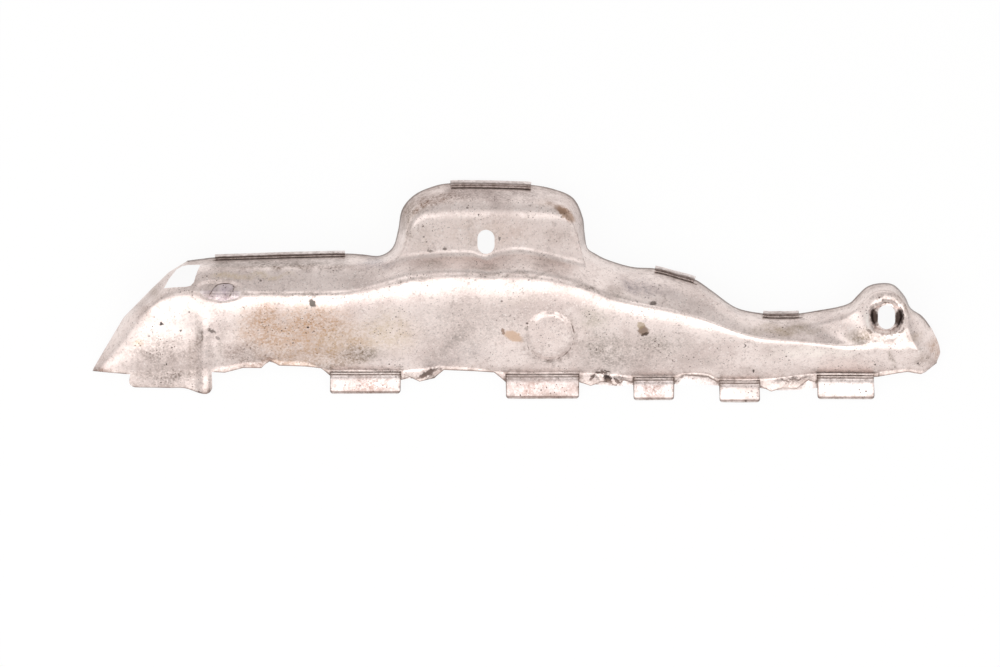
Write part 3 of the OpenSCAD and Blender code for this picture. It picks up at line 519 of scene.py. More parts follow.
def middle_mesh(name, rear):
    """Mesh of a skin's middle surface in metres, with the direction of its outer face at each point."""
    points, ways, sheet = skin_surface(rear)
    rows = points.shape[1]
    i, j = np.nonzero(sheet)
    corner = i * rows + j
    quads = np.stack([corner, corner + rows, corner + rows + 1, corner + 1], 1)
    used, quads = np.unique(quads, return_inverse=True)
    quads = quads.reshape(-1, 4)
    mesh = bpy.data.meshes.new(name)
    mesh.from_pydata((points.reshape(-1, 3)[used] * MM).tolist(), [], quads.tolist())
    layer = mesh.attributes.new("outer_way", "FLOAT_VECTOR", "POINT")
    layer.data.foreach_set("vector", ways.reshape(-1, 3)[used].astype(np.float32).ravel())
    mesh.update()
    return mesh


def add_node(tree, kind, inputs=None, **settings):
    """Adds a node, sets its properties, and gives each socket a value or the socket that feeds it."""
    node = tree.nodes.new(kind)
    for key, value in settings.items():
        setattr(node, key, value)
    for key, value in (inputs or {}).items():
        if isinstance(value, bpy.types.NodeSocket):
            tree.links.new(value, node.inputs[key])
        else:
            node.inputs[key].default_value = value
    return node


def maths(tree, operation, *values):
    """One step of arithmetic on numbers and sockets."""
    return add_node(tree, "ShaderNodeMath", dict(enumerate(values)), operation=operation).outputs[0]


def vector_maths(tree, operation, vector, other):
    """A vector with another added to it, or scaled by a number."""
    key = "Scale" if operation == "SCALE" else 1
    return add_node(tree, "ShaderNodeVectorMath", {0: vector, key: other}, operation=operation).outputs[0]


def sheet_tree():
    """Turns a middle surface into a closed sheet of even thickness with a faint waviness from the press."""
    tree = bpy.data.node_groups.new("pressed_sheet", "GeometryNodeTree")
    sockets = (("Surface", "Geometry"), ("Thickness", "Float"), ("Wave height", "Float"),
               ("Wave length", "Float"), ("Seed", "Float"), ("Finish", "Material"))
    for name, kind in sockets:
        tree.interface.new_socket(name=name, in_out="INPUT", socket_type="NodeSocket" + kind)
    tree.interface.new_socket(name="Sheet", in_out="OUTPUT", socket_type="NodeSocketGeometry")
    given = add_node(tree, "NodeGroupInput").outputs
    way = add_node(
        tree, "GeometryNodeInputNamedAttribute", {"Name": "outer_way"}, data_type="FLOAT_VECTOR").outputs[0]
    spot = add_node(tree, "GeometryNodeInputPosition").outputs[0]
    wave = add_node(
        tree, "ShaderNodeTexNoise",
        {"Vector": spot, "W": given["Seed"], "Scale": maths(tree, "DIVIDE", 1.0, given["Wave length"]),
         "Detail": 2.0, "Roughness": 0.5}, noise_dimensions="4D").outputs[0]
    swing = maths(tree, "MULTIPLY", maths(tree, "SUBTRACT", wave, 0.5), given["Wave height"])
    lift = add_node(tree, "ShaderNodeCombineXYZ", {"Z": swing}).outputs[0]
    half = maths(tree, "MULTIPLY", given["Thickness"], -0.5)
    shift = vector_maths(tree, "ADD", vector_maths(tree, "SCALE", way, half), lift)
    inner = add_node(
        tree, "GeometryNodeSetPosition", {"Geometry": given["Surface"], "Offset": shift}).outputs[0]
    outer = add_node(
        tree, "GeometryNodeExtrudeMesh",
        {"Individual": False, "Mesh": inner, "Offset": way, "Offset Scale": given["Thickness"]},
        mode="FACES").outputs[0]
    back = add_node(tree, "GeometryNodeFlipFaces", {"Mesh": inner}).outputs[0]
    both = add_node(tree, "GeometryNodeJoinGeometry")
    tree.links.new(outer, both.inputs[0])
    tree.links.new(back, both.inputs[0])
    closed = add_node(
        tree, "GeometryNodeMergeByDistance", {"Geometry": both.outputs[0], "Distance": 2e-6}).outputs[0]
    plain = add_node(tree, "GeometryNodeRealizeInstances", {"Geometry": closed}).outputs[0]
    coated = add_node(
        tree, "GeometryNodeSetMaterial", {"Geometry": plain, "Material": given["Finish"]}).outputs[0]
    add_node(tree, "NodeGroupOutput", {"Sheet": coated})
    return tree


SHEET_TREE = sheet_tree()
PRESS_WAVE_H, PRESS_WAVE_L, PRESS_SEED = 0.5, 38, 4.0


def press_sheet(name, rear, finish):
    """A draft of a closed skin: the middle surface, with the sheet tree that gives it its thickness."""
    draft = bpy.data.objects.new(name + "_draft", middle_mesh(name + "_draft", rear))
    bpy.context.scene.collection.objects.link(draft)
    modifier = draft.modifiers.new("sheet", "NODES")
    modifier.node_group = SHEET_TREE
    ids = {item.name: item.identifier for item in SHEET_TREE.interface.items_tree if item.in_out == "INPUT"}
    wanted = {"Thickness": SHEET_T * MM, "Wave height": PRESS_WAVE_H * MM, "Wave length": PRESS_WAVE_L * MM,
              "Seed": PRESS_SEED, "Finish": finish}
    for key, value in wanted.items():
        modifier[ids[key]] = value
    return draft


def plain_mesh(thing, name):
    """The evaluated object as a plain mesh of its own; the draft is removed."""
    seen = thing.evaluated_get(bpy.context.evaluated_depsgraph_get())
    mesh = bpy.data.meshes.new_from_object(seen)
    mesh.name = name
    bpy.data.objects.remove(thing)
    return mesh


SLOT_POINTS = 64
PUNCH_FROM, PUNCH_TO = -2, 60


def slot_outline(at):
    """Outline of an upright oblong slot in millimetres."""
    centre = place((*at, 0))[:2]
    outline = []
    for k in range(SLOT_POINTS):
        angle = 2 * math.pi * (k + 0.5) / SLOT_POINTS
        side = 1 if math.sin(angle) > 0 else -1
        outline.append((centre[0] + SLOT_W / 2 * math.cos(angle),
                        centre[1] + SLOT_W / 2 * math.sin(angle) + side * (SLOT_L - SLOT_W) / 2))
    return outline


def soft_outline(corners, passes):
    """Closed outline on the layout grid with its corners cut round, in millimetres."""
    points = np.array(corners, float)
    for _ in range(passes):
        after = np.roll(points, -1, axis=0)
        points = np.stack([0.75 * points + 0.25 * after, 0.25 * points + 0.75 * after], 1).reshape(-1, 2)
    return [tuple(p) for p in place(np.column_stack([points, np.zeros(len(points))]))[:, :2]]


def cut_through(thing, outlines):
    """Pierces upright holes with the given outlines."""
    for outline in outlines:
        n = len(outline)
        area = sum(a[0] * b[1] - b[0] * a[1] for a, b in zip(outline, outline[1:] + outline[:1]))
        if area < 0:
            outline = outline[::-1]
        points = [(x * MM, y * MM, z * MM) for z in (PUNCH_FROM, PUNCH_TO) for x, y in outline]
        faces = [list(range(n))[::-1], list(range(n, 2 * n))]
        faces += [[k, (k + 1) % n, n + (k + 1) % n, n + k] for k in range(n)]
        mesh = bpy.data.meshes.new("punch")
        mesh.from_pydata(points, [], faces)
        punch = bpy.data.objects.new("punch", mesh)
        bpy.context.scene.collection.objects.link(punch)
        cut = thing.modifiers.new("cut", "BOOLEAN")
        cut.operation = "DIFFERENCE"
        cut.solver = "MANIFOLD"
        cut.object = punch
        name = thing.name
        thing = bpy.data.objects.new(name, plain_mesh(thing, name))
        bpy.context.scene.collection.objects.link(thing)
        bpy.data.objects.remove(punch)
    return thing


# Corners on the layout grid of the opening at the left corner, and of the front skin's window.
OPENING = [
    (164, 288.2), (169, 279), (176.5, 269.6), (182, 266.2), (188.5, 265), (200.4, 264.8),
    (197.5, 271), (195.5, 276.5), (194, 282), (190.5, 285.8), (186, 286.8), (176, 287.2)]
WINDOW = [
    (209.3, 295.4), (212.6, 289.6), (216, 285.6), (220, 284), (225, 283.4), (230, 284), (234, 285.8),
    (233.4, 290), (232, 292.8), (229, 296.6), (224, 298), (217, 298.4), (212, 297.8)]


def linear(code):
    """sRGB hex to the linear colour that a shader takes."""
    parts = [int(code[k:k + 2], 16) / 255 for k in (0, 2, 4)]
    return tuple(c / 12.92 if c <= 0.04045 else ((c + 0.055) / 1.055) ** 2.4 for c in parts) + (1.0,)


# Stains of the front skin, broad and soft, then its marks, small and sharper: x, y and two radii on
# the layout grid, turn, colour and strength. Some of them are painted shade and painted highlights,
# as noted where they stand.
FRONT_STAINS_AND_PAINTED_LIGHT = [
    (302, 334, 84, 40, 0, "CDA98C", 0.95), (262, 326, 32, 30, 0, "C49C7C", 0.75),
    (322, 322, 38, 24, 0, "C79F80", 0.75), (342, 345, 52, 30, 0, "C6AA8E", 0.8),
    (300, 358, 70, 16, 0, "BA9A80", 0.75), (390, 332, 40, 30, 0, "D6C2AB", 0.8),
    (240, 355, 32, 20, 0, "9C867C", 0.75), (252, 366, 28, 8, 0, "84685C", 0.75),
    (262, 310, 26, 12, 0, "B08F78", 0.6), (367, 354, 24, 11, 0, "82776A", 0.75),
    (350, 356, 26, 12, 0, "8A725E", 0.75), (330, 366, 30, 5, 0, "9C8672", 0.5),
    (452, 343, 34, 12, 35, "9C918C", 0.7), (470, 352, 28, 14, 0, "A39896", 0.5),
    # (419, 206), (446, 198), (552, 206), (500, 194), (407, 222) and (580, 232): dirt on the dome's steep
    # walls, darkened further as painted shade of the walls.
    (443, 362, 30, 8, 10, "A79C9A", 0.5), (419, 206, 30, 11, 28, "7C5A42", 0.95),
    (446, 198, 56, 9, 5, "86695A", 0.85), (552, 206, 22, 6, -14, "9C7F6A", 0.6),
    (500, 194, 90, 12, 0, "A08F8A", 0.75), (407, 222, 9, 30, 0, "86705F", 0.75),
    # (485, 232): a film of dirt on the dome's flat face, darkened further as painted shade.
    (580, 232, 5, 26, 0, "94807A", 0.6), (485, 232, 80, 22, 0, "CBB5A8", 0.55),
    (560, 236, 34, 16, 0, "B5A39A", 0.5), (420, 240, 20, 18, 0, "B8A498", 0.45),
    # (636, 287), (664, 290) and (620, 296): dirt on the steep slope behind the ridge, darkened further as
    # painted shade.
    (636, 287, 28, 11, -20, "A2969A", 0.7), (664, 290, 30, 9, -20, "B1A2A2", 0.5),
    (620, 296, 20, 8, -25, "A89C92", 0.5), (592, 320, 22, 16, 0, "B3A796", 0.65),
    (655, 345, 45, 14, 0, "A89C92", 0.65), (620, 362, 60, 10, 0, "AC9F99", 0.6),
    (600, 345, 24, 16, 0, "B0A49A", 0.5), (785, 330, 50, 8, 0, "A8957A", 0.65),
    (860, 336, 20, 10, 20, "9B8975", 0.7), (700, 362, 34, 9, 0, "B7A9A3", 0.5),
    (745, 372, 30, 7, 0, "AB9C96", 0.45), (935, 348, 7, 16, 0, "A87F5E", 0.8),
    (908, 305, 7, 16, 25, "A88F7D", 0.75), (898, 297, 12, 6, 30, "A08876", 0.6),
    (868, 340, 18, 10, 30, "9A8978", 0.65), (893, 360, 5, 16, 0, "95867A", 0.7),
    (915, 338, 12, 8, 30, "B49C86", 0.5), (920, 362, 18, 8, 0, "B6A7A0", 0.4),
    # (280, 265), (225, 266), (330, 268), (375, 264), and (285, 264) further down: dirt on the steep upper
    # wall at the left, darkened further as painted shade.
    (280, 265, 90, 4.5, 0, "8E7B70", 0.8), (225, 266, 22, 7, 0, "94857C", 0.7),
    (330, 268, 46, 5, 0, "9A8A84", 0.7), (250, 276, 60, 5, 0, "D2BC98", 0.65),
    (375, 264, 24, 8, 0, "94868A", 0.7), (145, 312, 12, 20, 35, "B7A298", 0.5),
    # (488, 267), (430, 264) and (540, 262): painted shade on the steep slope under the dome's lip, with some
    # dirt.
    (101, 371, 12, 7, 0, "7B5A4C", 0.85), (488, 267, 26, 7, 0, "998A82", 0.7),
    (430, 264, 20, 7, 0, "A19389", 0.6), (540, 262, 34, 7, 0, "B3A49C", 0.5),
    (260, 361, 16, 6, -10, "8C7C74", 0.6), (137, 343, 9, 5, 0, "EBC98F", 0.95),
    (165, 372, 46, 12, 0, "B5A69E", 0.6), (190, 355, 6, 34, 0, "A6978E", 0.65),
    (222, 345, 7, 30, 0, "A89A92", 0.5), (160, 345, 34, 20, 0, "CDC0BA", 0.5),
    (155, 292, 9, 14, 35, "A08C7C", 0.6), (513, 300, 36, 8, 0, "D8C9BC", 0.3),
    (175, 379, 54, 13, 0, "5F514A", 0.9), (285, 264, 90, 6, 0, "7E6A5E", 0.85),
    # (470, 325) and (640, 352), with (600, 348) and (605, 346) further down: grey over the lower front face,
    # part dirt and part painted shade.
    (470, 325, 110, 34, 3, "A99C96", 0.5), (640, 352, 90, 24, 8, "A99C96", 0.55),
    (160, 352, 58, 26, 0, "8C7D76", 0.65), (203, 352, 15, 46, 0, "8C7D76", 0.55),
    (924, 358, 16, 10, 0, "A8958A", 0.6), (428, 373, 22, 9, 15, "6F5D57", 0.9),
    (606, 378, 30, 10, 0, "7F6E68", 0.9), (792, 380, 30, 9, 4, "87766F", 0.85),
    # (505, 274.5), (408, 281.5), (590, 289) and (290, 294): painted shade along the back of the ridge's
    # crest, which dims a thin highlight there.
    (505, 274.5, 80, 3, 0, "8A7B73", 0.85), (408, 281.5, 30, 3, 10, "8A7B73", 0.85),
    (590, 289, 34, 3, -20, "8A7B73", 0.8), (290, 294, 90, 2.5, 0, "8A7B73", 0.8),
    # (815, 352): a painted highlight along the ridge at the right.
    (815, 352, 64, 9, 2, "FFF4EC", 0.9), (600, 348, 30, 22, 0, "948780", 0.5),
    # (700, 380) and (475, 374): painted shade that tones down the lamp-lit lower edge between the tabs.
    (700, 380, 22, 6, 0, "B5A6A1", 0.7), (475, 374, 26, 4, 0, "BDAEA8", 0.6),
    (222, 301, 28, 5, 0, "BFAEAC", 0.7), (887, 296, 22, 7, 0, "93827A", 0.6),
    # (866.5, 320), (886, 333), (886, 300) and (906.5, 318): painted highlights on the cup's rim and lower
    # lip; (886.5, 303): painted shade on the cup's upper wall; (884, 339.5): painted shadow below the lip.
    (605, 346, 34, 24, 0, "A89C94", 0.6), (866.5, 320, 5, 13, 8, "FFF8F2", 0.9),
    (886, 333, 16, 4, 0, "FFF4EC", 0.95), (886, 300, 13, 4, 0, "FBEEE6", 0.35),
    (906.5, 318, 4, 12, -8, "E8DAD2", 0.7), (886.5, 303, 14, 6, 0, "75645A", 0.9),
    # (206, 350) and, on the next line, (197, 345): a painted highlight on the upright bead's lit side and
    # painted shade on its shaded side.
    (884, 339.5, 18, 4, -8, "7A695D", 0.6), (206, 350, 3.5, 46, 0, "F8EDEA", 0.25),
    (197, 345, 3.5, 44, 0, "958277", 0.6), (606, 372, 12, 4, 0, "6B5A54", 0.7),
    (793, 377, 20, 4, 5, "7B6963", 0.6)]
FRONT_MARKS_AND_PAINTED_SHADE = [
    (643.5, 331, 7, 6, 0, "8A7362", 0.85), (641, 325.5, 5, 4, 0, "AA936E", 0.6),
    (645, 334.5, 5, 2.2, 20, "4C3D35", 0.85), (161.5, 324, 2.4, 2.2, 0, "4B4442", 0.95),
    (312, 303, 4, 6, 20, "55504A", 0.9), (513.5, 336.5, 13, 6, -24, "CDAE96", 0.85),
    (503, 331.5, 2, 3.4, 20, "8F7361", 0.8), (526, 328.5, 2.6, 2.2, 0, "8A8079", 0.6),
    (428, 373, 12, 3.4, 25, "4E403A", 0.9), (421, 377, 6, 2, 20, "6A5A54", 0.8),
    (608, 378.5, 7, 3.6, -50, "382D2A", 0.95), (603, 372.5, 10, 2, 0, "54453F", 0.9),
    (592, 377, 6, 2, 50, "5B4A44", 0.85), (617, 381, 7, 2, -45, "4F403B", 0.85),
    (181, 331, 1.3, 1.3, 0, "4A3F3B", 0.9), (166, 364, 1.4, 1.4, 0, "3F3532", 0.9),
    (745, 346, 1.2, 2.4, 0, "5A4F4C", 0.8), (753, 371, 1.6, 1.6, 0, "3E312E", 0.9),
    (918, 363, 1.4, 1.4, 0, "4A3E3A", 0.9), (875, 365, 1.4, 1.4, 0, "4A3E3A", 0.9),
    (833, 387, 1.3, 1.3, 0, "3E3330", 0.9), (653, 303, 5, 3, 20, "5F544E", 0.8),
    (212, 331, 2.6, 5, 60, "5B504A", 0.75), (218, 338, 2.2, 3.4, 30, "6B605A", 0.6),
    (202, 336, 1.5, 7, 0, "6B5E55", 0.6), (189, 312, 1.6, 1.2, 0, "5B504A", 0.8),
    # (874.5, 316.5) and (899, 317.5): painted shade in the cup's steep side walls.
    (874.5, 316.5, 6, 11, 10, "4A3A33", 0.95), (899, 317.5, 6, 11, -8, "42332D", 0.95),
    (869, 331, 5, 2, -40, "6B5A4E", 0.7), (872, 306, 4, 1.8, 40, "6B5A4E", 0.6),
    (902, 331, 4, 1.8, 40, "6B5A4E", 0.6), (445, 249, 3, 1.6, 8, "574A42", 0.7),
    (430, 251, 3.4, 1.8, 10, "574A42", 0.6), (499, 239, 1.6, 3, 0, "5A4C46", 0.7),
    (786, 381, 7, 1.6, -20, "6F5E58", 0.7), (801, 379, 7, 1.6, 15, "6F5E58", 0.7),
    # (549, 361.5): painted shadow just below the button's foot.
    (270, 359, 6, 3, 0, "7A665C", 0.7), (549, 361.5, 9, 1.2, 0, "6F6058", 0.6),
    (566, 214, 14, 6, -42, "9A7250", 0.65), (561, 210, 10, 4, -30, "7E5C42", 0.5)]


WAVE_COUNT = 7


def wander(x, y, size, seed):
    """A smooth wandering value between -1 and 1, from a few crossed waves."""
    draw = np.random.default_rng(seed)
    total = 0
    for _ in range(WAVE_COUNT):
        way, phase = draw.uniform(0, 2 * math.pi, 2)
        rate = 2 * math.pi / (size * draw.uniform(0.6, 1.8))
        total = total + np.sin((x * math.cos(way) + y * math.sin(way)) * rate + phase)
    return total / WAVE_COUNT


# How far stains and painted shade and highlights stray from their ovals along x and y: reach in mm, wave size
# on the grid, and seed.
STRAY = [[(3.2, 22, 1), (1.2, 8, 2)], [(2.4, 20, 3), (1.0, 8, 4)]]
STAIN_FADE = 0.85


def mesh_points(mesh):
    """Places of a mesh's points, in metres."""
    places = np.empty(len(mesh.vertices) * 3, np.float32)
    mesh.vertices.foreach_get("co", places)
    return places.reshape(-1, 3)


def store_stains_and_painted_light(mesh, stains_and_painted_light):
    """Keeps on every point the colour of the stains, painted shade and painted highlights that lie over it,
    and how strong they are.
    """
    points = mesh_points(mesh).astype(float) / MM
    grid = grid_of(points)
    for axis, waves in enumerate(STRAY):
        points[:, axis] += sum(reach * wander(*grid, size, seed) for reach, size, seed in waves)
    colour, cover = np.zeros((len(points), 3)), np.zeros(len(points))
    for x, y, rx, ry, turn, code, strength in stains_and_painted_light:
        gauss = bump(points, x, y, rx, ry, turn, 1.0)
        far = np.sqrt(-np.log(np.maximum(gauss, 1e-12)))
        share = np.clip((1.0 - far) / STAIN_FADE, 0, 1)
        share = strength * share * share * (3 - 2 * share)
        both = share + cover * (1 - share)
        part = (share / np.maximum(both, 1e-6))[:, None]
        colour = mix(colour, np.array(linear(code)[:3]), part)
        cover = both
    layer = mesh.attributes.new("stain_and_painted_light", "FLOAT_COLOR", "POINT")
    layer.data.foreach_set("color", np.column_stack([colour, cover]).astype(np.float32).ravel())


# Colours of the steel's mottling and grain, of the dirt and painted shade along its folds, and of the dirt on
# its edges and in its pits.
MOTTLE, PATCH, GRAIN_DARK, GRAIN_LIGHT = "C2B0AA", "A59690", "8E7F79", "FFF8F4"
SEAM_DIRT_AND_SHADOW, SEAM_HAZE_AND_SHADE, EDGE_DIRT, EDGE_LINE, PIT_DIRT = "5A463C", "A08F88", "8B766C", "5E4A41", "54433E"
# Pits: spacing in mm, radius as a share of it, and the share of places that hold one.
PITS = ((1.9, 0.34, 0.42), (4.6, 0.22, 0.55), (1.1, 0.42, 0.42))
# Sizes in mm of the noise that shapes each trait of the finish.
MOTTLE_SIZE, PATCH_SIZE, GRAIN_SIZE, DRIFT_SIZE = 22, 2.6, 0.9, 14
WARP_SIZE, TATTER_SIZE, STIPPLE_SIZE, CLOUD_SIZE, SEAM_SIZE = 9, 1.6, 1.3, 6, 2.2
WARP_REACH, TATTER_REACH, BUMP_H = 1.4, 3.2, 0.12


def steel_with_stains_and_painted_light(name, base, marks_and_painted_shade, seed):
    """Aluminised steel, pressed and heat-aged: a satin grey-white metal with a warm cast, fine dark
    pitting, tan heat tint in blurred patches, and brown dirt where the folds hold it. Painted shade and
    painted highlights come in with the stains, the marks and the seam lines."""
    finish = bpy.data.materials.new(name)
    finish.use_nodes = True
    tree = finish.node_tree
    tree.nodes.clear()
    spot = add_node(tree, "ShaderNodeTexCoord").outputs["Object"]

    def noise(size_mm, detail, rough, w):
        return add_node(
            tree, "ShaderNodeTexNoise",
            {"Vector": spot, "W": seed + w, "Scale": 1 / (size_mm * MM), "Detail": detail,
             "Roughness": rough}, noise_dimensions="4D").outputs

    def ranged(source, low, high, to_low=0.0, to_high=1.0):
        return add_node(
            tree, "ShaderNodeMapRange",
            {"Value": source, "From Min": low, "From Max": high, "To Min": to_low, "To Max": to_high},
            interpolation_type="SMOOTHSTEP").outputs[0]

    def times(a, b):
        return maths(tree, "MULTIPLY", a, b)

    def times_plus(a, b, c):
        return maths(tree, "MULTIPLY_ADD", a, b, c)

    def blend(share, under, over):
        return add_node(tree, "ShaderNodeMix", {0: share, 6: under, 7: over}, data_type="RGBA").outputs[2]

    def tint(under, code, factor, strength):
        return blend(times(factor, strength), under, linear(code))

    def strayed(source, cloud, reach_mm):
        shift = vector_maths(tree, "ADD", cloud["Color"], (-0.5, -0.5, -0.5))
        return vector_maths(tree, "ADD", source, vector_maths(tree, "SCALE", shift, reach_mm * MM))

    # Even ground colour with broad and narrow mottling, a few per cent lighter and darker.
    broad = noise(MOTTLE_SIZE, 3, 0.6, 1.0)[0]
    narrow = noise(PATCH_SIZE, 4, 0.65, 2.0)[0]
    grain = noise(GRAIN_SIZE, 2, 0.6, 3.0)[0]
    colour = blend(ranged(broad, 0.35, 0.7, 0.0, 0.6), linear(base), linear(MOTTLE))
    colour = tint(colour, PATCH, ranged(narrow, 0.5, 0.72), 0.5)
    colour = tint(colour, GRAIN_DARK, ranged(grain, 0.56, 0.74), 0.5)
    colour = tint(colour, GRAIN_LIGHT, ranged(grain, 0.46, 0.3), 0.5)

    # Stains, with painted shade and painted highlights among them: soft blots with edges broken up by noise,
    # stippled as heat tint is.
    nearly = strayed(spot, noise(WARP_SIZE, 3, 0.6, 4.0), WARP_REACH)
    torn = strayed(nearly, noise(TATTER_SIZE, 2, 0.6, 8.0), TATTER_REACH)
    stipple = ranged(noise(STIPPLE_SIZE, 3, 0.7, 5.0)[0], 0.36, 0.62, 0.3, 1.0)
    patchy = ranged(noise(CLOUD_SIZE, 4, 0.65, 9.0)[0], 0.33, 0.6, 0.45, 1.1)
    stain_and_painted_light = add_node(tree, "ShaderNodeAttribute", attribute_name="stain_and_painted_light").outputs
    stain_and_light_share = times(times(stain_and_painted_light["Alpha"], stipple), patchy)
    colour = blend(stain_and_light_share, colour, stain_and_painted_light["Color"])
    for x, y, rx, ry, turn, code, strength in marks_and_painted_shade:
        at = place((x, y, 0)) * MM
        local = add_node(
            tree, "ShaderNodeMapping",
            {"Vector": torn, "Location": (at[0], at[1], 0), "Rotation": (0, 0, math.radians(turn)),
             "Scale": (rx * LAYOUT_UNIT * MM, ry * LAYOUT_UNIT * MM, 10.0)}, vector_type="TEXTURE").outputs[0]
        far = add_node(tree, "ShaderNodeVectorMath", {0: local}, operation="LENGTH").outputs["Value"]
        colour = tint(colour, code, ranged(far, 1.0, 0.55), strength)

    # Dirt along the folds and the edges, from the distances that each point carries. At the window's top and
    # round the lower side of the button's foot the fold colour is painted shadow, and the haze beside the
    # folds is dirt with painted shade.
    seam_and_shadow_distance = add_node(tree, "ShaderNodeAttribute", attribute_name="seam_and_shadow_mm").outputs["Fac"]
    edge = add_node(tree, "ShaderNodeAttribute", attribute_name="edge_mm").outputs["Fac"]
    seam_dirt_and_shadow = times(ranged(seam_and_shadow_distance, 0.5, 0.12), ranged(noise(SEAM_SIZE, 3, 0.6, 6.0)[0], 0.3, 0.55, 0.45, 1.0))
    colour = tint(colour, SEAM_DIRT_AND_SHADOW, seam_dirt_and_shadow, 0.9)
    haze_and_shade = times(ranged(seam_and_shadow_distance, 5.0, 0.5), ranged(narrow, 0.4, 0.65, 0.2, 1.0))
    colour = tint(colour, SEAM_HAZE_AND_SHADE, haze_and_shade, 0.5)
    edge_dirt = times(ranged(edge, 3.2, 0.2), ranged(narrow, 0.35, 0.6, 0.25, 1.0))
    colour = tint(colour, EDGE_DIRT, edge_dirt, 0.5)
    colour = tint(colour, EDGE_LINE, ranged(edge, 0.75, 0.2), 0.7)

    # Pitting: three sizes of dark spots in loose drifts, and more of them in the stains.
    drift = ranged(noise(DRIFT_SIZE, 3, 0.65, 7.0)[0], 0.45, 0.66)
    pits = None
    for size, radius, share in PITS:
        cells = add_node(
            tree, "ShaderNodeTexVoronoi",
            {"Vector": nearly, "Scale": 1 / (size * MM), "Randomness": 1.0, "W": seed + size},
            voronoi_dimensions="4D").outputs
        pick = add_node(tree, "ShaderNodeSeparateColor", {0: cells["Color"]}).outputs[0]
        dots = times(ranged(cells["Distance"], radius, radius * 0.45), ranged(pick, share, share - 0.12))
        pits = dots if pits is None else maths(tree, "MAXIMUM", pits, dots)
    pits = times(pits, times_plus(stain_and_light_share, 0.6, times_plus(drift, 0.8, 0.16)))
    colour = tint(colour, PIT_DIRT, pits, 0.9)

    # Satin gloss that varies with the mottling and is dull in the dirt, and a faint rolled grain.
    dull = ranged(broad, 0.3, 0.75, 0.34, 0.46)
    rough = times_plus(maths(tree, "MAXIMUM", pits, seam_dirt_and_shadow), 0.35, dull)
    grained = add_node(
        tree, "ShaderNodeBump",
        {"Strength": 0.35, "Distance": BUMP_H * MM, "Height": times_plus(grain, 0.5, narrow)}).outputs[0]
    shader = add_node(
        tree, "ShaderNodeBsdfPrincipled",
        {"Metallic": 1.0, "Base Color": colour, "Roughness": rough, "Normal": grained})
    add_node(tree, "ShaderNodeOutputMaterial", {"Surface": shader.outputs[0]})
    return finish


def outline_lines(points):
    """Lines from each point to the next, as pairs of end points."""
    return list(zip(points[:-1], points[1:]))


# Below each tab's fold, the distance in mm at which its dirt line lies.
FOLD_LINE = 0.45


def flap_edges():
    """Free edges of both skins' flaps on the tabs, in millimetres."""
    lines = []
    for first, last, length in TABS:
        fold = place(smooth_line(FOLD, np.array([first, last], float)))
        for cut in (0.0, FLAP_STEP):
            lift = np.array([0, length - cut, 0])
            lines.append((fold[0] + lift, fold[1] + lift))
    return lines


def bare_edges():
    """Folds and sides of the tabs, the lower edge where it isn't folded, and the rim, in millimetres."""
    lines = []
    for first, last, length in TABS:
        ends = place(smooth_line(FOLD, np.array([first, last], float)))
        lines.append(tuple(ends - np.array([0, FOLD_LINE, 0])))
        for end in ends:
            lines.append((end, end + np.array([0, length, 0])))
    edge = smooth_line(FOLD, STATIONS)
    on_lug = (STATIONS >= LUG[0]) & (STATIONS <= LUG[1])
    edge[:, 1] = np.where(on_lug, edge[:, 1], straight_line(TRIM, STATIONS)[:, 0])
    edge = place(edge)
    for k in range(len(STATIONS) - 1):
        middle_of = (STATIONS[k] + STATIONS[k + 1]) / 2
        if not any(first < middle_of < last for first, last, _ in TABS):
            lines.append((edge[k], edge[k + 1]))
    return lines + outline_lines(place(smooth_line(RIM, STATIONS[::3])))


def store_distance(mesh, name, lines):
    """Keeps, on every point, the distance in millimetres to the nearest line in plan."""
    spots = mesh_points(mesh)[:, :2] / MM
    best = np.full(len(spots), 50.0)
    for a, b in lines:
        a, b = np.array(a[:2]), np.array(b[:2])
        t = np.clip(((spots - a) @ (b - a)) / max((b - a) @ (b - a), 1e-9), 0, 1)
        best = np.minimum(best, np.linalg.norm(spots - (a + t[:, None] * (b - a)), axis=1))
    layer = mesh.attributes.new(name, "FLOAT", "POINT")
    layer.data.foreach_set("value", best.astype(np.float32))


SHARP_ANGLE = 38
# The part of the window's outline that gets a painted shadow line, and the arc in degrees of the circle round
# the button's foot, on its lower and right side, that gets one too.
WINDOW_TOP = WINDOW[:10]
BUTTON_ARC = (-170, 40)


def seam_and_shadow_lines():
    """Lines that get a dark line: dirt at the flaps' edges and the hems' edges, painted shadow at the
    window's top and the button's foot.
    """
    lines = flap_edges()
    for first, last in HEMS:
        stations = np.linspace(first, last, 12)
        rim, shoulder = place(smooth_line(RIM, stations)), place(smooth_line(SHOULDER, stations))
        lines += outline_lines(rim + unit(shoulder - rim) * HEM_L)
    lines += outline_lines(place(np.column_stack([WINDOW_TOP, np.zeros(len(WINDOW_TOP))])))
    around = np.radians(np.linspace(*BUTTON_ARC, 22))
    foot = np.column_stack([np.cos(around), np.sin(around), np.zeros(22)])
    return lines + outline_lines(place((*BUTTON_AT, 0)) + (BUTTON_R + 0.3) * foot)


def finish_skin(draft, name, outlines, finish, stains_and_painted_light):
    """Pierces the skin, shades it, and stores its distances to the dirt and painted shadow lines, and its
    stains with the painted shade and highlights.
    """
    thing = bpy.data.objects.new(name + "_pierced", plain_mesh(draft, name))
    bpy.context.scene.collection.objects.link(thing)
    thing = cut_through(thing, outlines)
    thing.name = name
    mesh = thing.data
    mesh.name = name
    mesh.materials.clear()
    mesh.materials.append(finish)
    mesh.shade_smooth()
    mesh.set_sharp_from_angle(angle=math.radians(SHARP_ANGLE))
    store_distance(mesh, "seam_and_shadow_mm", seam_and_shadow_lines())
    store_distance(mesh, "edge_mm", bare_edges())
    store_stains_and_painted_light(mesh, stains_and_painted_light)
    return thing


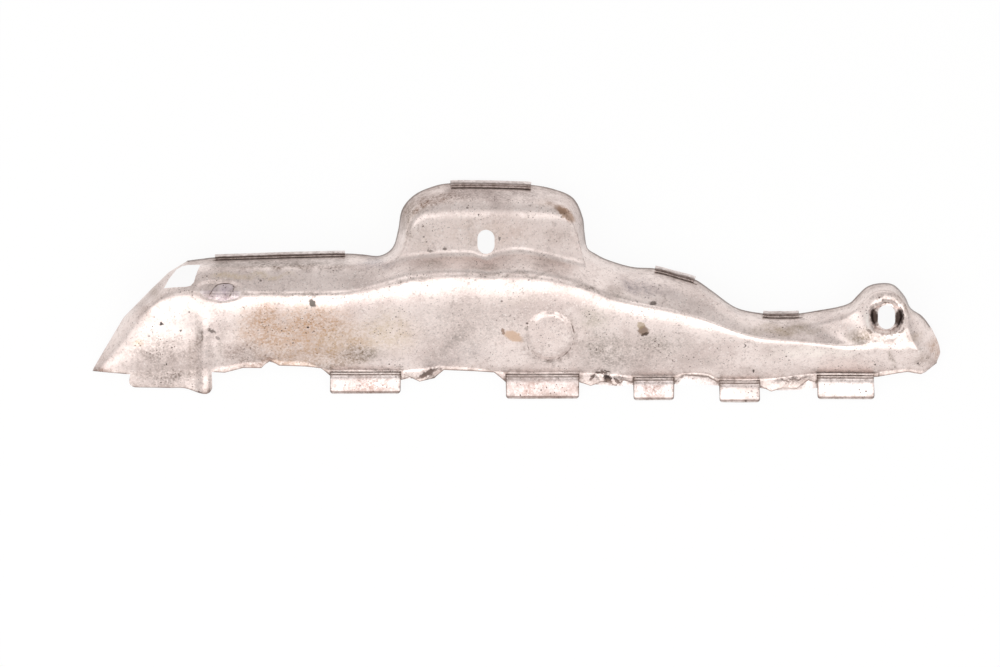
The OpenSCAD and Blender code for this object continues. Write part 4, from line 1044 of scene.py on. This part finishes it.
front_steel = steel_with_stains_and_painted_light("aged_aluminised_steel", "F5E6E0", FRONT_MARKS_AND_PAINTED_SHADE, 3.0)
front = finish_skin(
    press_sheet("front_skin_pressing", False, front_steel), "front_skin_pressing",
    [slot_outline(SLOT_AT), slot_outline(CUP_AT), soft_outline(OPENING, 0), soft_outline(WINDOW, 2)],
    front_steel, FRONT_STAINS_AND_PAINTED_LIGHT)
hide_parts("front_skin")
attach(front, "root")


# Rear skin. A second sheet of the same steel, pressed with the first and nested behind it.
# Its flaps lie outermost on the folded tabs. Its back has seen heat but little dirt.

REAR_STAINS = [
    (365, 386, 50, 18, 0, "B79C93", 0.95), (542, 388, 52, 18, 0, "B79C93", 0.95),
    (653, 388, 30, 18, 0, "A48A82", 0.95), (740, 390, 30, 16, 0, "D9C8C1", 0.7),
    (846, 386, 38, 16, 0, "D9C8C1", 0.7), (222, 288, 34, 22, 0, "E2D1D8", 1.0),
    (222, 297, 32, 10, 0, "98868E", 1.0), (300, 320, 90, 40, 0, "C2A98F", 0.5),
    (480, 300, 120, 30, 0, "B8A79C", 0.5), (620, 330, 60, 30, 20, "A99C98", 0.45),
    (760, 350, 70, 20, 5, "BBA78F", 0.5), (500, 215, 70, 20, 0, "B49A80", 0.45),
    (880, 320, 30, 30, 0, "A8988C", 0.45), (170, 350, 50, 22, 0, "B5A9A6", 0.4),
    (690, 300, 60, 16, 15, "AFA29E", 0.4), (400, 350, 50, 20, 0, "B3A695", 0.4)]
REAR_MARKS = [
    (450, 330, 5, 4, 20, "6B5C52", 0.7), (610, 300, 3, 3, 0, "5F534E", 0.8),
    (350, 330, 3, 5, 40, "6E6058", 0.7), (720, 350, 4, 3, 0, "6B5C52", 0.7)]
rear_steel = steel_with_stains_and_painted_light("aluminised_steel_inner", "FAEFEC", REAR_MARKS, 11.0)
rear = finish_skin(
    press_sheet("rear_skin_pressing", True, rear_steel), "rear_skin_pressing",
    [slot_outline(SLOT_AT), slot_outline(CUP_AT), soft_outline(OPENING, 0)], rear_steel, REAR_STAINS)
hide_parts("rear_skin")
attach(rear, "root")


# Stage. A pale studio floor, a wide soft box in front that lights the upper face and the ridge, a weaker
# one behind and one at the left, and a white surround that darkens overhead. The camera looks straight
# down, as in the photograph.

FLOOR_REACH, FLOOR_Z = 3.0, -0.0004
floor_mesh = bpy.data.meshes.new("studio_floor")
floor_mesh.from_pydata(
    [(x * FLOOR_REACH, y * FLOOR_REACH, FLOOR_Z) for x, y in ((-1, -1), (1, -1), (1, 1), (-1, 1))],
    [], [(0, 1, 2, 3)])
floor = bpy.data.objects.new("studio_floor", floor_mesh)
bpy.context.scene.collection.objects.link(floor)
# To the camera and in reflections the paper is nearly plain white; the rest of it holds the shadow.
WHITE_SHARE = 0.92
paper = bpy.data.materials.new("white_paper")
paper.use_nodes = True
tree = paper.node_tree
tree.nodes.clear()
sheet = add_node(tree, "ShaderNodeBsdfDiffuse", {"Color": linear("F4F3F2")}).outputs[0]
glow = add_node(tree, "ShaderNodeEmission", {"Color": (1, 1, 1, 1), "Strength": 1.0}).outputs[0]
ray = add_node(tree, "ShaderNodeLightPath").outputs
seen = maths(tree, "MAXIMUM", ray["Is Camera Ray"], ray["Is Glossy Ray"])
seen = maths(tree, "MAXIMUM", seen, ray["Is Transmission Ray"])
share = maths(tree, "MULTIPLY", seen, WHITE_SHARE)
paper_light = add_node(tree, "ShaderNodeMixShader", {0: share, 1: sheet, 2: glow}).outputs[0]
add_node(tree, "ShaderNodeOutputMaterial", {"Surface": paper_light})
floor_mesh.materials.append(paper)

world = bpy.data.worlds.new("soft_studio")
world.use_nodes = True
bpy.context.scene.world = world
tree = world.node_tree
tree.nodes.clear()
way = add_node(tree, "ShaderNodeTexCoord").outputs["Generated"]
level = None
# The surround darkens with height, and behind the part: direction, from, to, and level at each.
for axis, low, high, at_low, at_high in (("Z", 0.35, 0.95, 0.86, 0.42), ("Y", -0.2, 0.5, 1.0, 0.82)):
    part = add_node(
        tree, "ShaderNodeMapRange",
        {"Value": add_node(tree, "ShaderNodeSeparateXYZ", {0: way}).outputs[axis],
         "From Min": low, "From Max": high, "To Min": at_low, "To Max": at_high}).outputs[0]
    level = part if level is None else maths(tree, "MULTIPLY", level, part)
sky = add_node(tree, "ShaderNodeBackground", {"Color": (1, 1, 1, 1), "Strength": level})
add_node(tree, "ShaderNodeOutputWorld", {"Surface": sky.outputs[0]})


def soft_lamp(name, size, place_at, target, power):
    """A rectangular soft box aimed at a point."""
    data = bpy.data.lights.new(name, "AREA")
    data.shape = "RECTANGLE"
    data.size, data.size_y = size
    data.energy = power
    lamp = bpy.data.objects.new(name, data)
    bpy.context.scene.collection.objects.link(lamp)
    lamp.location = place_at
    lamp.rotation_euler = (Vector(target) - Vector(place_at)).to_track_quat("-Z", "Y").to_euler()


soft_lamp("front_soft_box", (2.4, 1.49), (0, -0.92, 1.31), (0, 0, 0), 17.0)
soft_lamp("rear_soft_box", (2.2, 0.9), (0, 0.85, 1.7), (0, 0, 0), 6.6)
soft_lamp("left_soft_box", (0.7, 0.9), (-1.2, -0.3, 1.1), (-0.2, 0, 0), 2.6)

# One grid step is one pixel of the image, and the camera looks straight down on its middle.
IMAGE_W, IMAGE_H = 1000, 667
CAMERA_HEIGHT = 1.6
camera_data = bpy.data.cameras.new("camera")
camera_data.type = "ORTHO"
camera_data.ortho_scale = IMAGE_W * LAYOUT_UNIT * MM
camera_data.clip_end = 20
camera = bpy.data.objects.new("camera", camera_data)
bpy.context.scene.collection.objects.link(camera)
centre = place((IMAGE_W / 2, IMAGE_H / 2, 0)) * MM
camera.location = (centre[0], centre[1], CAMERA_HEIGHT)
bpy.context.scene.camera = camera
bpy.context.scene.view_settings.view_transform = "Standard"
